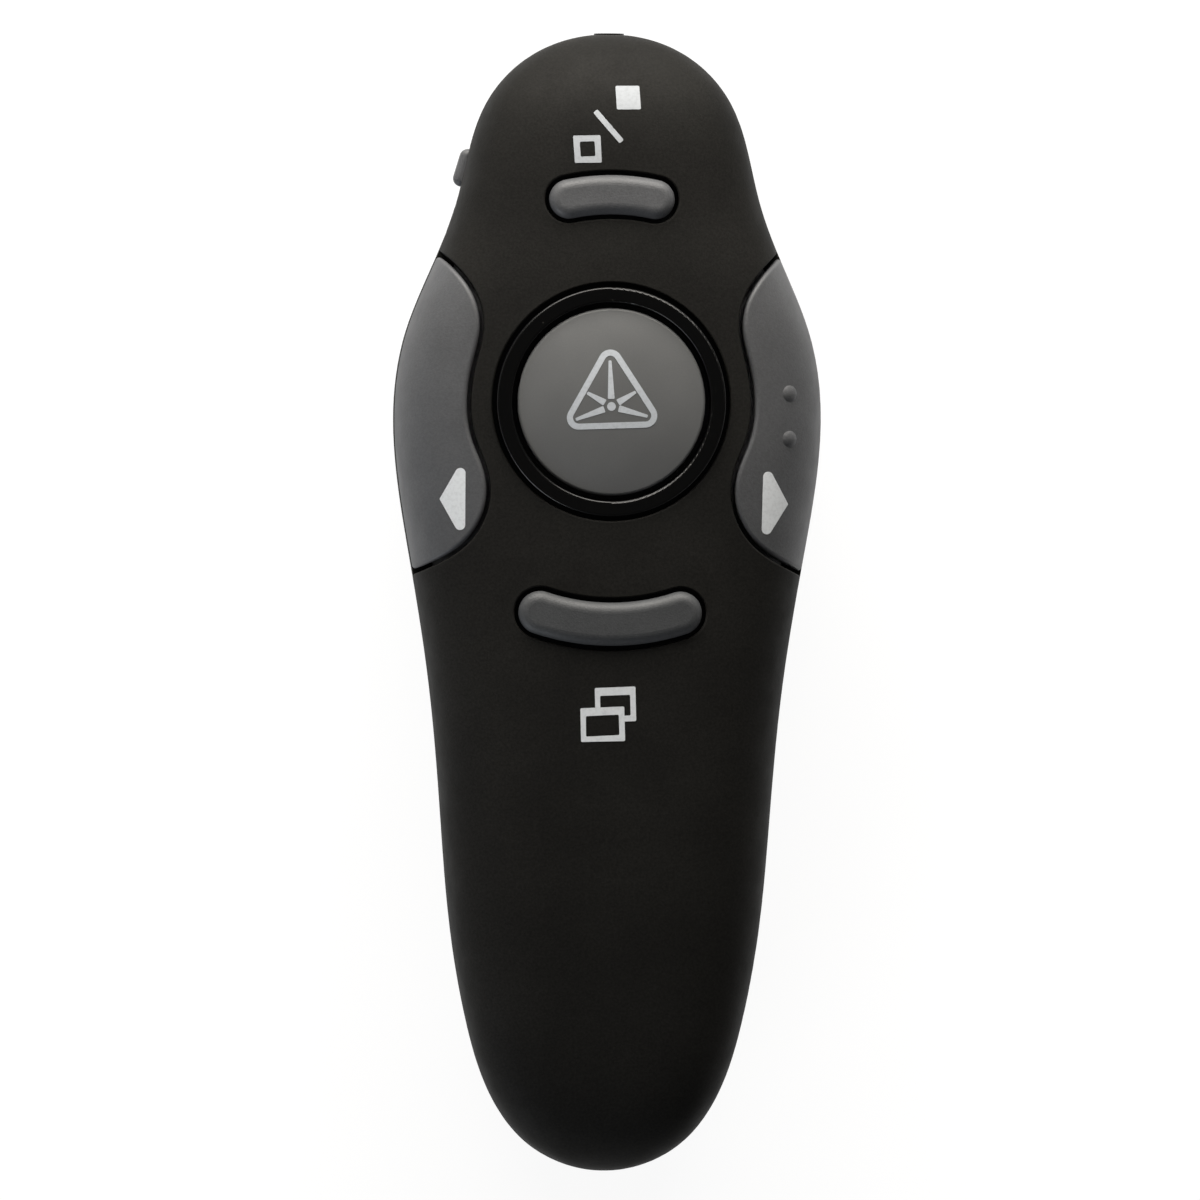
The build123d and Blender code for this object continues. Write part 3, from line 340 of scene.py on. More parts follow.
@dataclass(frozen=True)
class PolishedRing(Finish):
    """Polished black plastic that has picked up hairlines and a little dust.

    Attributes:
        tone: Colour of the plastic.
        roughness: How matt the polish is.
        hairline: Width of a hairline in millimetres.
        specular: Strength of its surface reflection, 0.5 for plain plastic.
        dust: Colour of the dust.
        dust_spacing: Mean distance between grains of dust in millimetres.
        dust_radius: Radius of a grain of dust in millimetres.
        dust_cover: How much of the plastic a grain hides.
        scuffing: How much a hairline adds to the roughness.
    """

    tone: Tone
    roughness: float
    hairline: float
    specular: float = 0.3
    dust: Tone = Tone(120, 118, 112)
    dust_spacing: float = 2.1
    dust_radius: float = 0.09
    dust_cover: float = 0.5
    scuffing: float = 0.12

    def fill(self, recipe: Recipe) -> None:
        """Mix the polished plastic.

        Args:
            recipe: What it is mixed in.
        """
        scratch = recipe.noise(self.hairline, detail=3.0, cloud=Cloud.ALONG_X)
        cross = recipe.noise(self.hairline, detail=3.0, cloud=Cloud.ALONG_Y)
        marks = recipe.combine("MAXIMUM", recipe.remap(scratch, 0.66, 0.75),
                               recipe.remap(cross, 0.66, 0.75))
        grains = recipe.specks(self.dust_spacing, self.dust_radius)
        colour = recipe.blend(recipe.noise(1.5), self.tone.scaled(0.8), self.tone.scaled(1.2))
        colour = recipe.blend(recipe.combine("MULTIPLY", grains, self.dust_cover), colour,
                              self.dust)
        recipe.feed("Base Color", colour)
        scuffs = recipe.combine("MULTIPLY", marks, self.scuffing)
        recipe.feed("Roughness", recipe.combine("ADD", scuffs, self.roughness))
        recipe.set(Specular_IOR_Level=self.specular)
        recipe.relief(recipe.noise(0.5, detail=1.0), depth=0.002)


@dataclass(frozen=True)
class Metal(Finish):
    """Drawn, plated or turned metal with the marks of its making.

    Attributes:
        tone: Colour of the metal.
        roughness: How matt it is.
        swing: How far the roughness varies to either side.
        marks: Which way the tool marks run.
        pitch: Spacing of the tool marks in millimetres.
        tarnish: Share by which old patches are darker.
        patch: Size of an old patch in millimetres.
        scratch: Depth of the tool marks in millimetres.
    """

    tone: Tone
    roughness: float
    swing: float = 0.07
    marks: Cloud = Cloud.EVEN
    pitch: float = 0.12
    tarnish: float = 0.15
    patch: float = 3.0
    scratch: float = 0.004

    def fill(self, recipe: Recipe) -> None:
        """Mix the metal.

        Args:
            recipe: What it is mixed in.
        """
        lines = recipe.noise(self.pitch, cloud=self.marks)
        old = recipe.remap(recipe.noise(self.patch, detail=3.0), 0.4, 0.7)
        recipe.feed("Base Color", recipe.blend(old, self.tone,
                                               self.tone.scaled(1 - self.tarnish)))
        recipe.feed("Roughness", recipe.spread(lines, self.roughness - self.swing,
                                               self.roughness + self.swing))
        recipe.set(Metallic=1.0)
        recipe.relief(lines, self.scratch)


@dataclass(frozen=True)
class Clear(Finish):
    """Clear plastic or glass, faintly smeared.

    Attributes:
        tone: Tint of the material.
        ior: Index of refraction.
        coat: Strength of an anti-reflection coat.
    """

    tone: Tone
    ior: float
    coat: float = 0.0

    def fill(self, recipe: Recipe) -> None:
        """Mix the clear material.

        Args:
            recipe: What it is mixed in.
        """
        smear = recipe.noise(0.8)
        recipe.feed("Base Color", recipe.blend(smear, self.tone, self.tone.scaled(0.96)))
        recipe.feed("Roughness", recipe.remap(smear, 0.45, 0.7, 0.02, 0.09))
        recipe.set(Transmission_Weight=1.0, IOR=self.ior, Coat_Weight=self.coat)


@dataclass(frozen=True)
class SolderMask(Finish):
    """Circuit board: lacquer over copper tracks, with tinned dots where layers join.

    Attributes:
        lacquer: Colour of the lacquer over bare laminate.
        track: Colour of the lacquer over copper.
        pitch: Spacing of the tracks in millimetres.
        tin: Colour of the tinned dots.
        dot_radius: Radius of a tinned dot in millimetres.
        copper_height: How far a track stands up, in millimetres.
    """

    lacquer: Tone
    track: Tone
    pitch: float
    tin: Tone = Tone(190, 188, 178)
    dot_radius: float = 0.22
    copper_height: float = 0.03

    def fill(self, recipe: Recipe) -> None:
        """Mix the circuit board.

        Args:
            recipe: What it is mixed in.
        """
        border = recipe.add("TexVoronoi", {"Vector": recipe.place, "Randomness": 0.35,
                                           "Scale": 1 / (self.pitch * MM)}, "Distance",
                            feature="DISTANCE_TO_EDGE")
        copper = recipe.remap(border, 0.06, 0.045)
        colour = recipe.blend(copper, self.lacquer, self.track)
        dot = recipe.specks(self.pitch * 1.4, self.dot_radius)
        colour = recipe.blend(recipe.remap(dot, 0.3, 0.4), colour, self.tin)
        recipe.feed("Base Color", colour)
        recipe.feed("Roughness", recipe.spread(recipe.noise(1.0), 0.28, 0.42))
        recipe.relief(copper, self.copper_height)


@dataclass(frozen=True)
class CellJacket(Finish):
    """Plain printed foil round a cell, bare steel at both ends.

    Attributes:
        jacket: Colour of the long part of the jacket.
        band: Colour of the band at the positive end.
        low: Y of the can's lower end in metres.
        high: Y of the can's upper end in metres.
        nub_up: Whether the positive end is the upper one.
        steel: Colour of the bare ends.
        worn: Colour of the scuffs.
        rim_width: Bare steel beyond the jacket at each end, in millimetres.
        band_width: Length of the band, in millimetres.
        blur: Half width of the step between two colours, in millimetres.
    """

    jacket: Tone
    band: Tone
    low: float
    high: float
    nub_up: bool
    steel: Tone = Tone(205, 205, 200)
    worn: Tone = Tone(120, 122, 124)
    rim_width: float = 0.45
    band_width: float = 9.0
    blur: float = 0.02

    def fill(self, recipe: Recipe) -> None:
        """Mix the jacket and its ends.

        Args:
            recipe: What it is mixed in.
        """
        along = recipe.add("SeparateXYZ", {"Vector": recipe.place}, "Y")
        rim, band, edge = self.rim_width * MM, self.band_width * MM, self.blur * MM

        def beyond(border: float, step: float) -> Socket:
            """1 above a border and 0 below it, or the other way round with a negative step."""
            return recipe.remap(along, border - step, border + step)

        in_band = beyond(self.high - band, edge) if self.nub_up else beyond(self.low + band, -edge)
        bare = recipe.combine("MAXIMUM", beyond(self.high - rim, edge),
                              beyond(self.low + rim, -edge))
        colour = recipe.blend(in_band, self.jacket, self.band)
        colour = recipe.blend(bare, colour, self.steel)
        scuff = recipe.noise(0.9, detail=4.0, cloud=Cloud.ALONG_Y)
        scuff = recipe.remap(scuff, 0.6, 0.75, 0.0, 0.5)
        recipe.feed("Base Color", recipe.blend(scuff, colour, self.worn))
        recipe.feed("Metallic", bare)
        recipe.feed("Roughness", recipe.spread(recipe.noise(1.2), 0.24, 0.36))
        recipe.relief(recipe.noise(2.0), depth=0.01)


@dataclass(frozen=True)
class PrintedInk(Finish):
    """Pad-printed ink, a little thinner in places.

    Attributes:
        tone: Colour of the ink.
    """

    tone: Tone

    def fill(self, recipe: Recipe) -> None:
        """Mix the ink.

        Args:
            recipe: What it is mixed in.
        """
        thin = recipe.remap(recipe.noise(0.35, detail=3.0), 0.45, 0.75)
        recipe.feed("Base Color", recipe.blend(thin, self.tone, self.tone.scaled(0.94)))
        recipe.feed("Roughness", recipe.spread(recipe.noise(0.2), 0.55, 0.7))
        recipe.set(Specular_IOR_Level=0.2)
        recipe.relief(recipe.noise(0.12, detail=1.0), depth=0.003)


def dress(names: tuple[str, ...], finish: Finish) -> None:
    """Give carried-over sub-parts a finish.

    Args:
        names: Sub-parts that share the finish.
        finish: What they are made of.
    """
    material = finish.mix()
    for name in names:
        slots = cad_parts[name].data.materials
        slots.clear()
        slots.append(material)
        LOG.info("%s: %s", name, finish.name)


# ------------------------ flat outlines, in millimetres
def corner_at(corners: list[Point], number: int) -> tuple[Vector, Vector, Vector]:
    """Look from one corner of an outline along both its sides.

    Args:
        corners: Corners in order.
        number: Which of them.

    Returns:
        The corner, and the unit directions to the corner before it and to the next one.
    """
    here = Vector(corners[number])
    back = (Vector(corners[number - 1]) - here).normalized()
    ahead = (Vector(corners[(number + 1) % len(corners)]) - here).normalized()
    return here, back, ahead


def rounded(corners: list[Point], radii: list[float], step: float = 0.12) -> list[Point]:
    """Round the corners of a convex outline.

    Args:
        corners: Sharp corners in order.
        radii: Radius at each corner.
        step: Longest piece of an arc.

    Returns:
        Points of the rounded outline.
    """
    points: list[Point] = []
    for number, radius in enumerate(radii):
        here, back, ahead = corner_at(corners, number)
        half = back.angle(ahead) / 2
        centre = here + (back + ahead).normalized() * (radius / math.sin(half))
        first = here + back * (radius / math.tan(half)) - centre
        last = here + ahead * (radius / math.tan(half)) - centre
        across = Vector((-first.y, first.x))
        turn = math.atan2(across.dot(last), first.dot(last))
        count = max(int(abs(turn) * radius / step), 3)
        for index in range(count + 1):
            angle = turn * index / count
            point = centre + first * math.cos(angle) + across * math.sin(angle)
            points.append((point.x, point.y))
    return points


def drawn_in(corners: list[Point], distance: float) -> list[Point]:
    """Move the sides of a convex outline inwards.

    Args:
        corners: Sharp corners in order.
        distance: How far each side moves.

    Returns:
        The new corners.
    """
    result: list[Point] = []
    for number in range(len(corners)):
        here, back, ahead = corner_at(corners, number)
        inward = (back + ahead).normalized()
        moved = here + inward * (distance / math.sin(back.angle(ahead) / 2))
        result.append((moved.x, moved.y))
    return result


def bar(start: Point, end: Point, width_start: float, width_end: float,
        softness: float = 0.3) -> list[Point]:
    """A straight stroke that may taper.

    Args:
        start: Middle of its first end.
        end: Middle of its other end.
        width_start: Width at the first end.
        width_end: Width at the other end.
        softness: Rounding of its corners, as a share of the smaller width.

    Returns:
        Points of the stroke's outline.
    """
    first, last = Vector(start), Vector(end)
    across = (last - first).normalized().orthogonal()
    corners = [first + across * width_start / 2, first - across * width_start / 2,
               last - across * width_end / 2, last + across * width_end / 2]
    radius = min(width_start, width_end) * softness
    return rounded([(corner.x, corner.y) for corner in corners], [radius] * 4, step=0.08)


def circle(centre: Point, radius: float, sides: int = 28) -> list[Point]:
    """A round outline.

    Args:
        centre: Its centre.
        radius: Its radius.
        sides: How many points it has.

    Returns:
        Points of the outline.
    """
    x, y = centre
    return [(x + radius * math.cos(math.tau * number / sides),
             y + radius * math.sin(math.tau * number / sides)) for number in range(sides)]


def divided(loop: list[Point], longest: float) -> list[Point]:
    """Add points to an outline where its sides are long.

    Args:
        loop: Points of the outline.
        longest: Length that no side may pass.

    Returns:
        The old and the new points in order.
    """
    points: list[Point] = []
    for number, start in enumerate(loop):
        end = loop[(number + 1) % len(loop)]
        count = max(math.ceil(math.dist(start, end) / longest), 1)
        for index in range(count):
            share = index / count
            points.append(tuple(a + (b - a) * share for a, b in zip(start, end)))
    return points


def inside(point: Point, loop: list[Point]) -> bool:
    """Tell whether a point lies within an outline.

    Args:
        point: The point.
        loop: Points of the outline.

    Returns:
        Whether it does.
    """
    x, y = point
    within = False
    for number, (x0, y0) in enumerate(loop):
        x1, y1 = loop[number - 1]
        if (y0 > y) != (y1 > y) and x < (x1 - x0) * (y - y0) / (y1 - y0) + x0:
            within = not within
    return within


@dataclass(frozen=True)
class Stroke:
    """One inked outline with the holes left in it.

    Attributes:
        outer: Outline of the ink.
        holes: Outlines that stay bare.
    """

    outer: list[Point]
    holes: list[list[Point]] = field(default_factory=list)


@dataclass(frozen=True)
class Symbol:
    """A printed symbol: strokes in plan, where a later one hides what lies under it.

    Attributes:
        name: Name of the printed piece.
        body: Body that it is printed on.
        ground: Sub-part that carries the ink.
        strokes: Inked outlines in millimetres.
    """

    name: str
    body: Body
    ground: str
    strokes: list[Stroke]

    def inked(self, point: Point) -> bool:
        """Tell whether ink lies on a point of the plan.

        Args:
            point: The point in millimetres.

        Returns:
            Whether the topmost stroke there is inked.
        """
        for stroke in reversed(self.strokes):
            if inside(point, stroke.outer):
                return not any(inside(point, hole) for hole in stroke.holes)
        return False

    def loops(self) -> list[list[Point]]:
        """Every outline of the symbol: each stroke's, followed by those of its holes."""
        return [loop for stroke in self.strokes for loop in (stroke.outer, *stroke.holes)]


@dataclass
class Printer:
    """Lays ink on curved surfaces as a thin closed skin.

    Attributes:
        proud: Thickness of the ink over the surface, in millimetres.
        sunk: How far the skin reaches into the surface, in millimetres.
        edge: Longest side along an outline, in millimetres.
        mesh: Spacing of the points within the ink, in millimetres.
        weld: Distance within which two points are one, in millimetres.
        crease: Angle from which an edge of the skin looks sharp, in degrees.
    """

    proud: float = 0.03
    sunk: float = 0.03
    edge: float = 0.25
    mesh: float = 0.5
    weld: float = 1e-5
    crease: float = 50.0

    def triangles(self, symbol: Symbol) -> tuple[list[Point], list[tuple[int, ...]]]:
        """Cut a symbol into flat triangles.

        Args:
            symbol: What is printed.

        Returns:
            The points in plan and the inked triangles.
        """
        points: list[Point] = []
        edges: list[tuple[int, int]] = []
        for loop in symbol.loops():
            fine = divided(loop, self.edge)
            first = len(points)
            points += fine
            edges += [(first + number, first + (number + 1) % len(fine))
                      for number in range(len(fine))]
        (low_x, high_x), (low_y, high_y) = ((min(axis), max(axis)) for axis in zip(*points))
        points += [(low_x + (column + 0.5) * self.mesh, low_y + (row + 0.5) * self.mesh)
                   for column in range(int((high_x - low_x) / self.mesh) + 1)
                   for row in range(int((high_y - low_y) / self.mesh) + 1)]
        corners, _, faces, *_ = delaunay_2d_cdt([Vector(point) for point in points], edges, [],
                                                0, self.weld)
        flat = [(point.x, point.y) for point in corners]
        kept = []
        for face in faces:
            middle = (sum(flat[i][0] for i in face) / 3, sum(flat[i][1] for i in face) / 3)
            if symbol.inked(middle):
                kept.append(tuple(face))
        return flat, kept

    def press(self, symbol: Symbol, ink: bpy.types.Material) -> None:
        """Print one symbol.

        Args:
            symbol: What is printed, and where.
            ink: The mixed ink.
        """
        flat, faces = self.triangles(symbol)
        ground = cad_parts[symbol.ground].data
        tree = BVHTree.FromPolygons([vertex.co for vertex in ground.vertices],
                                    [polygon.vertices for polygon in ground.polygons])
        used = sorted({index for face in faces for index in face})
        order = {index: number for number, index in enumerate(used)}
        upper, lower = [], []
        for index in used:
            x, y = flat[index]
            start = Vector((x * MM, y * MM, CAD_BOX[1].z + MM))
            place, normal, _, _ = tree.ray_cast(start, Vector((0, 0, -1)))
            upper.append(place + normal * self.proud * MM)
            lower.append(place - normal * self.sunk * MM)
        top = [tuple(order[index] for index in face) for face in faces]
        count = len(used)
        borders = dict.fromkeys((face[number], face[(number + 1) % 3])
                                for face in top for number in range(3))
        sides = [(b, a, a + count, b + count) for a, b in borders if (b, a) not in borders]
        bottom = [tuple(index + count for index in reversed(face)) for face in top]
        data = bpy.data.meshes.new(symbol.name)
        data.from_pydata(upper + lower, [], top + bottom + sides)
        data.materials.append(ink)
        data.shade_smooth()
        data.set_sharp_from_angle(angle=math.radians(self.crease))
        piece = bpy.data.objects.new(symbol.name, data)
        bpy.context.scene.collection.objects.link(piece)
        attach(piece, symbol.body.value)
        LOG.info("%s: %d triangles of ink on %s", symbol.name, len(faces), symbol.ground)


# ------------------------ sub-assemblies
@dataclass
class Housing:
    """The two shells, the battery door and the bezel rings.

    Attributes:
        lacquer: Soft-touch lacquer of the shells and the door.
        polish: Polished plastic of the ring and the laser's bezel.
    """

    lacquer: Finish = Moulded("soft_touch_black", Tone(28.8, 28.3, 26.6), drift=0.07, mottle=0.2,
                              roughness=0.67, specular=0.08, grain=0.18, depth=0.012,
                              specks=0.35)
    polish: Finish = PolishedRing("polished_black", Tone(3, 3, 3), roughness=0.3,
                                  hairline=0.06)

    def dress(self) -> None:
        """Finish the shells, the door and the rings."""
        dress(("top_shell", "bottom_shell", "battery_door"), self.lacquer)
        dress(("button_ring", "aperture_bezel"), self.polish)


@dataclass
class Buttons:
    """The five buttons and the power knob.

    Attributes:
        rubbery: Satin gray plastic of the pads, the upper band button and the knob.
        smooth: Finer satin gray plastic of the thumb button.
        window_gray_painted_shade: The upper band button's satin gray, darkened as painted shade
            for the lower band button.
        plunger: Pale plastic of the switch plungers.
    """

    rubbery: Finish = Moulded("satin_gray", Tone(75, 76, 78), drift=0.05, mottle=0.1,
                              roughness=0.55, specular=0.42, grain=0.2, depth=0.018,
                              specks=0.35)
    smooth: Finish = Moulded("satin_gray_fine", Tone(95, 96, 96), drift=0.02, mottle=0.03,
                             roughness=0.5, specular=0.45, grain=0.12, depth=0.004,
                             specks=0.12)
    # The lower band button's gray is the satin gray darkened: painted shade.
    window_gray_painted_shade: Finish = replace(rubbery, name="satin_gray_painted_shade", tone=Tone(64, 65.5, 67),
                           specular=0.4)
    plunger: Finish = Moulded("plunger_white", Tone(205, 204, 198), drift=0.03, roughness=0.4)

    def dress(self) -> None:
        """Finish the buttons and what they press."""
        dress(("back_pad", "forward_pad", "blank_button", "power_slider"), self.rubbery)
        dress(("laser_button",), self.smooth)
        dress(("window_button",), self.window_gray_painted_shade)
        dress(tuple(f"{name}_plunger" for name in ("laser", "blank", "window", "forward",
                                                   "back")), self.plunger)


@dataclass
class Symbols:
    """White function symbols beside and on the buttons, in millimetres on the plan.

    Attributes:
        head_ink_painted_shade: Ink of the symbol above the upper button: the white ink darkened,
            as painted shade.
        thumb_ink_painted_shade: Ink of the laser symbol: the white ink darkened a little, as
            painted shade.
        grip_ink: Ink of the arrows and of the symbol below the lower button.
        thumb_centre: Centre of the thumb button.
        line: Width of the laser symbol's frame.
        corner: Rounding of the laser symbol's frame, outside.
        frame_corners: Sharp corners of that frame, from the thumb button's centre.
        hub: Centre of its beam spot, from the thumb button's centre.
        hub_radius: Radius of the beam spot.
        hub_ring: How far from the spot's centre the rays start.
        ray_tips: Ends of its rays, from the thumb button's centre.
        ray_width: Width of a ray where it starts.
        ray_tip_width: Width of a ray at its end.
        square: Corners of the filled square above the upper button.
        slash: Both ends of the slash beside it.
        slash_width: Width of the slash.
        open_square: Outer corners of the open square.
        open_square_hole: Inner corners of the open square.
        rear_window: Outer corners of the window behind, below the lower button.
        rear_window_hole: Inner corners of the window behind.
        front_window: Outer corners of the window in front.
        front_window_hole: Inner corners of the window in front.
        back_arrow: Sharp corners of the left pad's arrow, its tip first.
        forward_arrow: Sharp corners of the right pad's arrow, its tip first.
        arrow_rounding: Rounding of an arrow's tip and of its other two corners.
        print_rounding: Rounding of the squares' and windows' corners.
    """

    # The head's and the thumb's inks are the grip's white ink darkened: painted shade that tones
    # down the print where the lamps light it most.
    head_ink_painted_shade: Finish = PrintedInk("head_ink_painted_shade", Tone(171, 175, 179))
    thumb_ink_painted_shade: Finish = PrintedInk("thumb_ink_painted_shade", Tone(184, 189, 194))
    grip_ink: Finish = PrintedInk("grip_ink", Tone(217, 221, 224))

    thumb_centre: Point = (0.0, 21.8)
    line: float = 0.66
    corner: float = 1.3
    frame_corners: Corners = ((-0.27, 6.88), (-5.82, -3.14), (6.0, -2.7))
    hub: Point = (-0.04, -0.51)
    hub_radius: float = 0.47
    hub_ring: float = 0.82
    ray_tips: Corners = ((-0.22, 4.48), (-2.67, 0.96), (2.59, 1.08), (-3.9, -1.95), (3.9, -1.57))
    ray_width: float = 0.74
    ray_tip_width: float = 0.32
    square: Corners = ((0.37, 56.18), (0.5, 53.6), (3.13, 53.63), (2.96, 56.2))
    slash: tuple[Point, Point] = ((-1.85, 53.42), (1.03, 50.09))
    slash_width: float = 0.6
    open_square: Corners = ((-4.26, 50.72), (-4.06, 47.74), (-1.14, 47.8), (-1.28, 50.78))
    open_square_hole: Corners = ((-3.54, 50.07), (-3.43, 48.44), (-1.83, 48.5), (-1.92, 50.12))
    rear_window: Corners = ((-1.65, -9.29), (-1.54, -13.03), (2.88, -12.86), (2.77, -9.09))
    rear_window_hole: Corners = ((-1.07, -10.14), (-0.99, -12.41), (2.27, -12.24), (2.19, -10.0))
    front_window: Corners = ((-3.2, -11.5), (-3.1, -15.16), (1.69, -15.03), (1.57, -11.27))
    front_window_hole: Corners = ((-2.59, -12.35), (-2.56, -14.57), (1.06, -14.38), (0.98, -12.16))
    back_arrow: Corners = ((-18.54, 11.17), (-15.78, 6.24), (-15.78, 16.1))
    forward_arrow: Corners = ((19.39, 10.8), (16.63, 15.83), (16.43, 6.08))
    arrow_rounding: tuple[float, float] = (0.12, 0.55)
    print_rounding: float = 0.14

    def laser(self) -> Symbol:
        """Draw a triangle with rays from a spot, on the thumb button.

        Returns:
            The symbol.
        """
        centre_x, centre_y = self.thumb_centre
        hub, *points = [(x + centre_x, y + centre_y)
                        for x, y in (self.hub, *self.frame_corners, *self.ray_tips)]
        corners, tips = points[:3], points[3:]
        hole = rounded(drawn_in(corners, self.line), [self.corner - self.line] * 3)
        strokes = [Stroke(rounded(corners, [self.corner] * 3), [hole])]
        middle = Vector(hub)
        for tip in tips:
            root = middle + (Vector(tip) - middle).normalized() * self.hub_ring
            strokes.append(Stroke(bar((root.x, root.y), tip, self.ray_width,
                                      self.ray_tip_width)))
        strokes.append(Stroke(circle(hub, self.hub_radius)))
        return Symbol("laser_symbol", Body.LASER_KEY, "laser_button", strokes)

    def box(self, corners: Corners) -> list[Point]:
        """A four-sided outline with slightly soft corners."""
        return rounded(list(corners), [self.print_rounding] * 4, step=0.06)

    def blank(self) -> Symbol:
        """Draw a filled square, a slash and an open square above the upper button.

        Returns:
            The symbol.
        """
        strokes = [Stroke(self.box(self.square)),
                   Stroke(bar(*self.slash, self.slash_width, self.slash_width)),
                   Stroke(self.box(self.open_square), [self.box(self.open_square_hole)])]
        return Symbol("blank_symbol", Body.HOUSING, "top_shell", strokes)

    def windows(self) -> Symbol:
        """Draw two overlapping windows below the lower button.

        Returns:
            The symbol.
        """
        strokes = [Stroke(self.box(self.rear_window), [self.box(self.rear_window_hole)]),
                   Stroke(self.box(self.front_window), [self.box(self.front_window_hole)])]
        return Symbol("window_symbol", Body.HOUSING, "top_shell", strokes)

    def arrow(self, name: str, body: Body, ground: str, corners: Corners) -> Symbol:
        """Draw a filled triangle on a side pad.

        Args:
            name: Name of the printed piece.
            body: Body of the pad.
            ground: The pad.
            corners: Sharp corners of the triangle, its tip first.

        Returns:
            The symbol.
        """
        tip, foot = self.arrow_rounding
        return Symbol(name, body, ground, [Stroke(rounded(list(corners), [tip, foot, foot]))])

    def build(self) -> None:
        """Print every symbol."""
        printer = Printer()
        grip = self.grip_ink.mix()
        printer.press(self.laser(), self.thumb_ink_painted_shade.mix())
        printer.press(self.blank(), self.head_ink_painted_shade.mix())
        printer.press(self.windows(), grip)
        printer.press(self.arrow("back_arrow", Body.BACK_KEY, "back_pad", self.back_arrow), grip)
        printer.press(self.arrow("forward_arrow", Body.FORWARD_KEY, "forward_pad",
                                 self.forward_arrow), grip)


@dataclass
class Electronics:
    """The circuit board with what is soldered to it, and the contacts.

    Attributes:
        board: Lacquered laminate of both boards.
        epoxy: Packages of the chips, and the slide switch's lever.
        switch: Cases of the push switches.
        ceramic: Small resistors and capacitors.
        spring_steel: Contacts, cans and the receiver's plug.
        copper: Antenna and the laser's leads.
    """

    board: Finish = SolderMask("solder_mask_green", lacquer=Tone(30, 92, 52),
                               track=Tone(46, 118, 66), pitch=1.6)
    epoxy: Finish = Moulded("moulded_epoxy", Tone(38, 38, 40), grain=0.08, roughness=0.6)
    switch: Finish = Moulded("switch_black", Tone(40, 40, 41), grain=0.1, roughness=0.45)
    ceramic: Finish = Moulded("ceramic_tan", Tone(168, 145, 112), grain=0.05, roughness=0.4)
    spring_steel: Finish = Metal("plated_steel", Tone(200, 200, 198), roughness=0.3,
                                 marks=Cloud.ALONG_X, pitch=0.1)
    copper: Finish = Metal("bare_copper", Tone(214, 150, 110), roughness=0.32,
                           marks=Cloud.ALONG_Y, pitch=0.05)

    def dress(self) -> None:
        """Finish the board, its components and the contacts."""
        dress(("main_board", "laser_driver"), self.board)
        dress(("controller_chip", "radio_chip", "switch_lever"), self.epoxy)
        dress(("tact_switches",), self.switch)
        dress(("small_components",), self.ceramic)
        dress(("contact_bridge", "contact_positive", "contact_negative", "crystal",
               "power_switch", "receiver_plug"), self.spring_steel)
        dress(("antenna", "laser_leads"), self.copper)


@dataclass
class Cells:
    """The two cells, lying head to tail.

    Attributes:
        jacket: Colour of the jacket.
        band: Colour of the band at the positive end.
        nub: Length of the positive nub, in millimetres.
    """

    jacket: Tone = Tone(38, 52, 74)
    band: Tone = Tone(176, 172, 160)
    nub: float = 1.0

    def dress(self) -> None:
        """Finish both cells, of which the left one points to the head."""
        for name, nub_up in (("battery_left", True), ("battery_right", False)):
            low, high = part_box(name)
            can_low = low.y if nub_up else low.y + self.nub * MM
            can_high = high.y - self.nub * MM if nub_up else high.y
            dress((name,), CellJacket(f"{name}_jacket", self.jacket, self.band, low=can_low,
                                      high=can_high, nub_up=nub_up))


@dataclass
class Laser:
    """The laser module and the window that it shines through.

    Attributes:
        brass: Turned brass of the barrel.
        window: Clear plastic of the window in the aperture.
        lens: Coated glass of the lens.
    """

    brass: Finish = Metal("turned_brass", Tone(208, 176, 104), roughness=0.28,
                          marks=Cloud.TURNED, pitch=0.2)
    window: Finish = Clear("clear_window", Tone(240, 240, 244), ior=1.49)
    lens: Finish = Clear("coated_lens", Tone(226, 236, 246), ior=1.6, coat=1.0)

    def dress(self) -> None:
        """Finish the barrel, the lens and the window."""
        dress(("laser_barrel",), self.brass)
        dress(("aperture_window",), self.window)
        dress(("laser_lens",), self.lens)


@dataclass
class Receiver:
    """The stowed USB receiver.

    Attributes:
        case: Black plastic of its case.
        tongue: White plastic inside its plug.
    """

    case: Finish = Moulded("receiver_black", Tone(34, 34, 33), roughness=0.4, grain=0.12)
    tongue: Finish = Moulded("tongue_white", Tone(206, 206, 202), roughness=0.42, grain=0.1)

    def dress(self) -> None:
        """Finish the receiver."""
        dress(("receiver_case",), self.case)
        dress(("receiver_tongue",), self.tongue)


@dataclass
class Fasteners:
    """Housing and board screws.

    Attributes:
        zinc: Bright zinc plating of all the screws.
    """

    zinc: Finish = Metal("bright_zinc", Tone(176, 178, 184), roughness=0.34, pitch=0.08,
                         tarnish=0.3)

    def dress(self) -> None:
        """Finish the screws."""
        dress(("housing_screws", "board_screws"), self.zinc)


# ------------------------ studio
@dataclass
class Lamp:
    """A soft box.

    Attributes:
        name: Name of the lamp.
        place: Where it hangs, in metres.
        size: Width and height in metres.
        power: Strength in watts.
        tint: Colour of its light.
    """

    name: str
    place: tuple[float, float, float]
    size: tuple[float, float]
    power: float
    tint: Tone

    def hang(self, aim: Vector) -> None:
        """Hang the lamp.

        Args:
            aim: Point that it is turned towards.
        """
        light = bpy.data.lights.new(self.name, "AREA")
        light.shape = "RECTANGLE"
        light.size, light.size_y = self.size
        light.energy = self.power
        light.color = self.tint.linear()[:3]
        lamp = bpy.data.objects.new(self.name, light)
        lamp.location = self.place
        lamp.rotation_euler = (aim - Vector(self.place)).to_track_quat("-Z", "Y").to_euler()
        lamp.visible_camera = False
        bpy.context.scene.collection.objects.link(lamp)


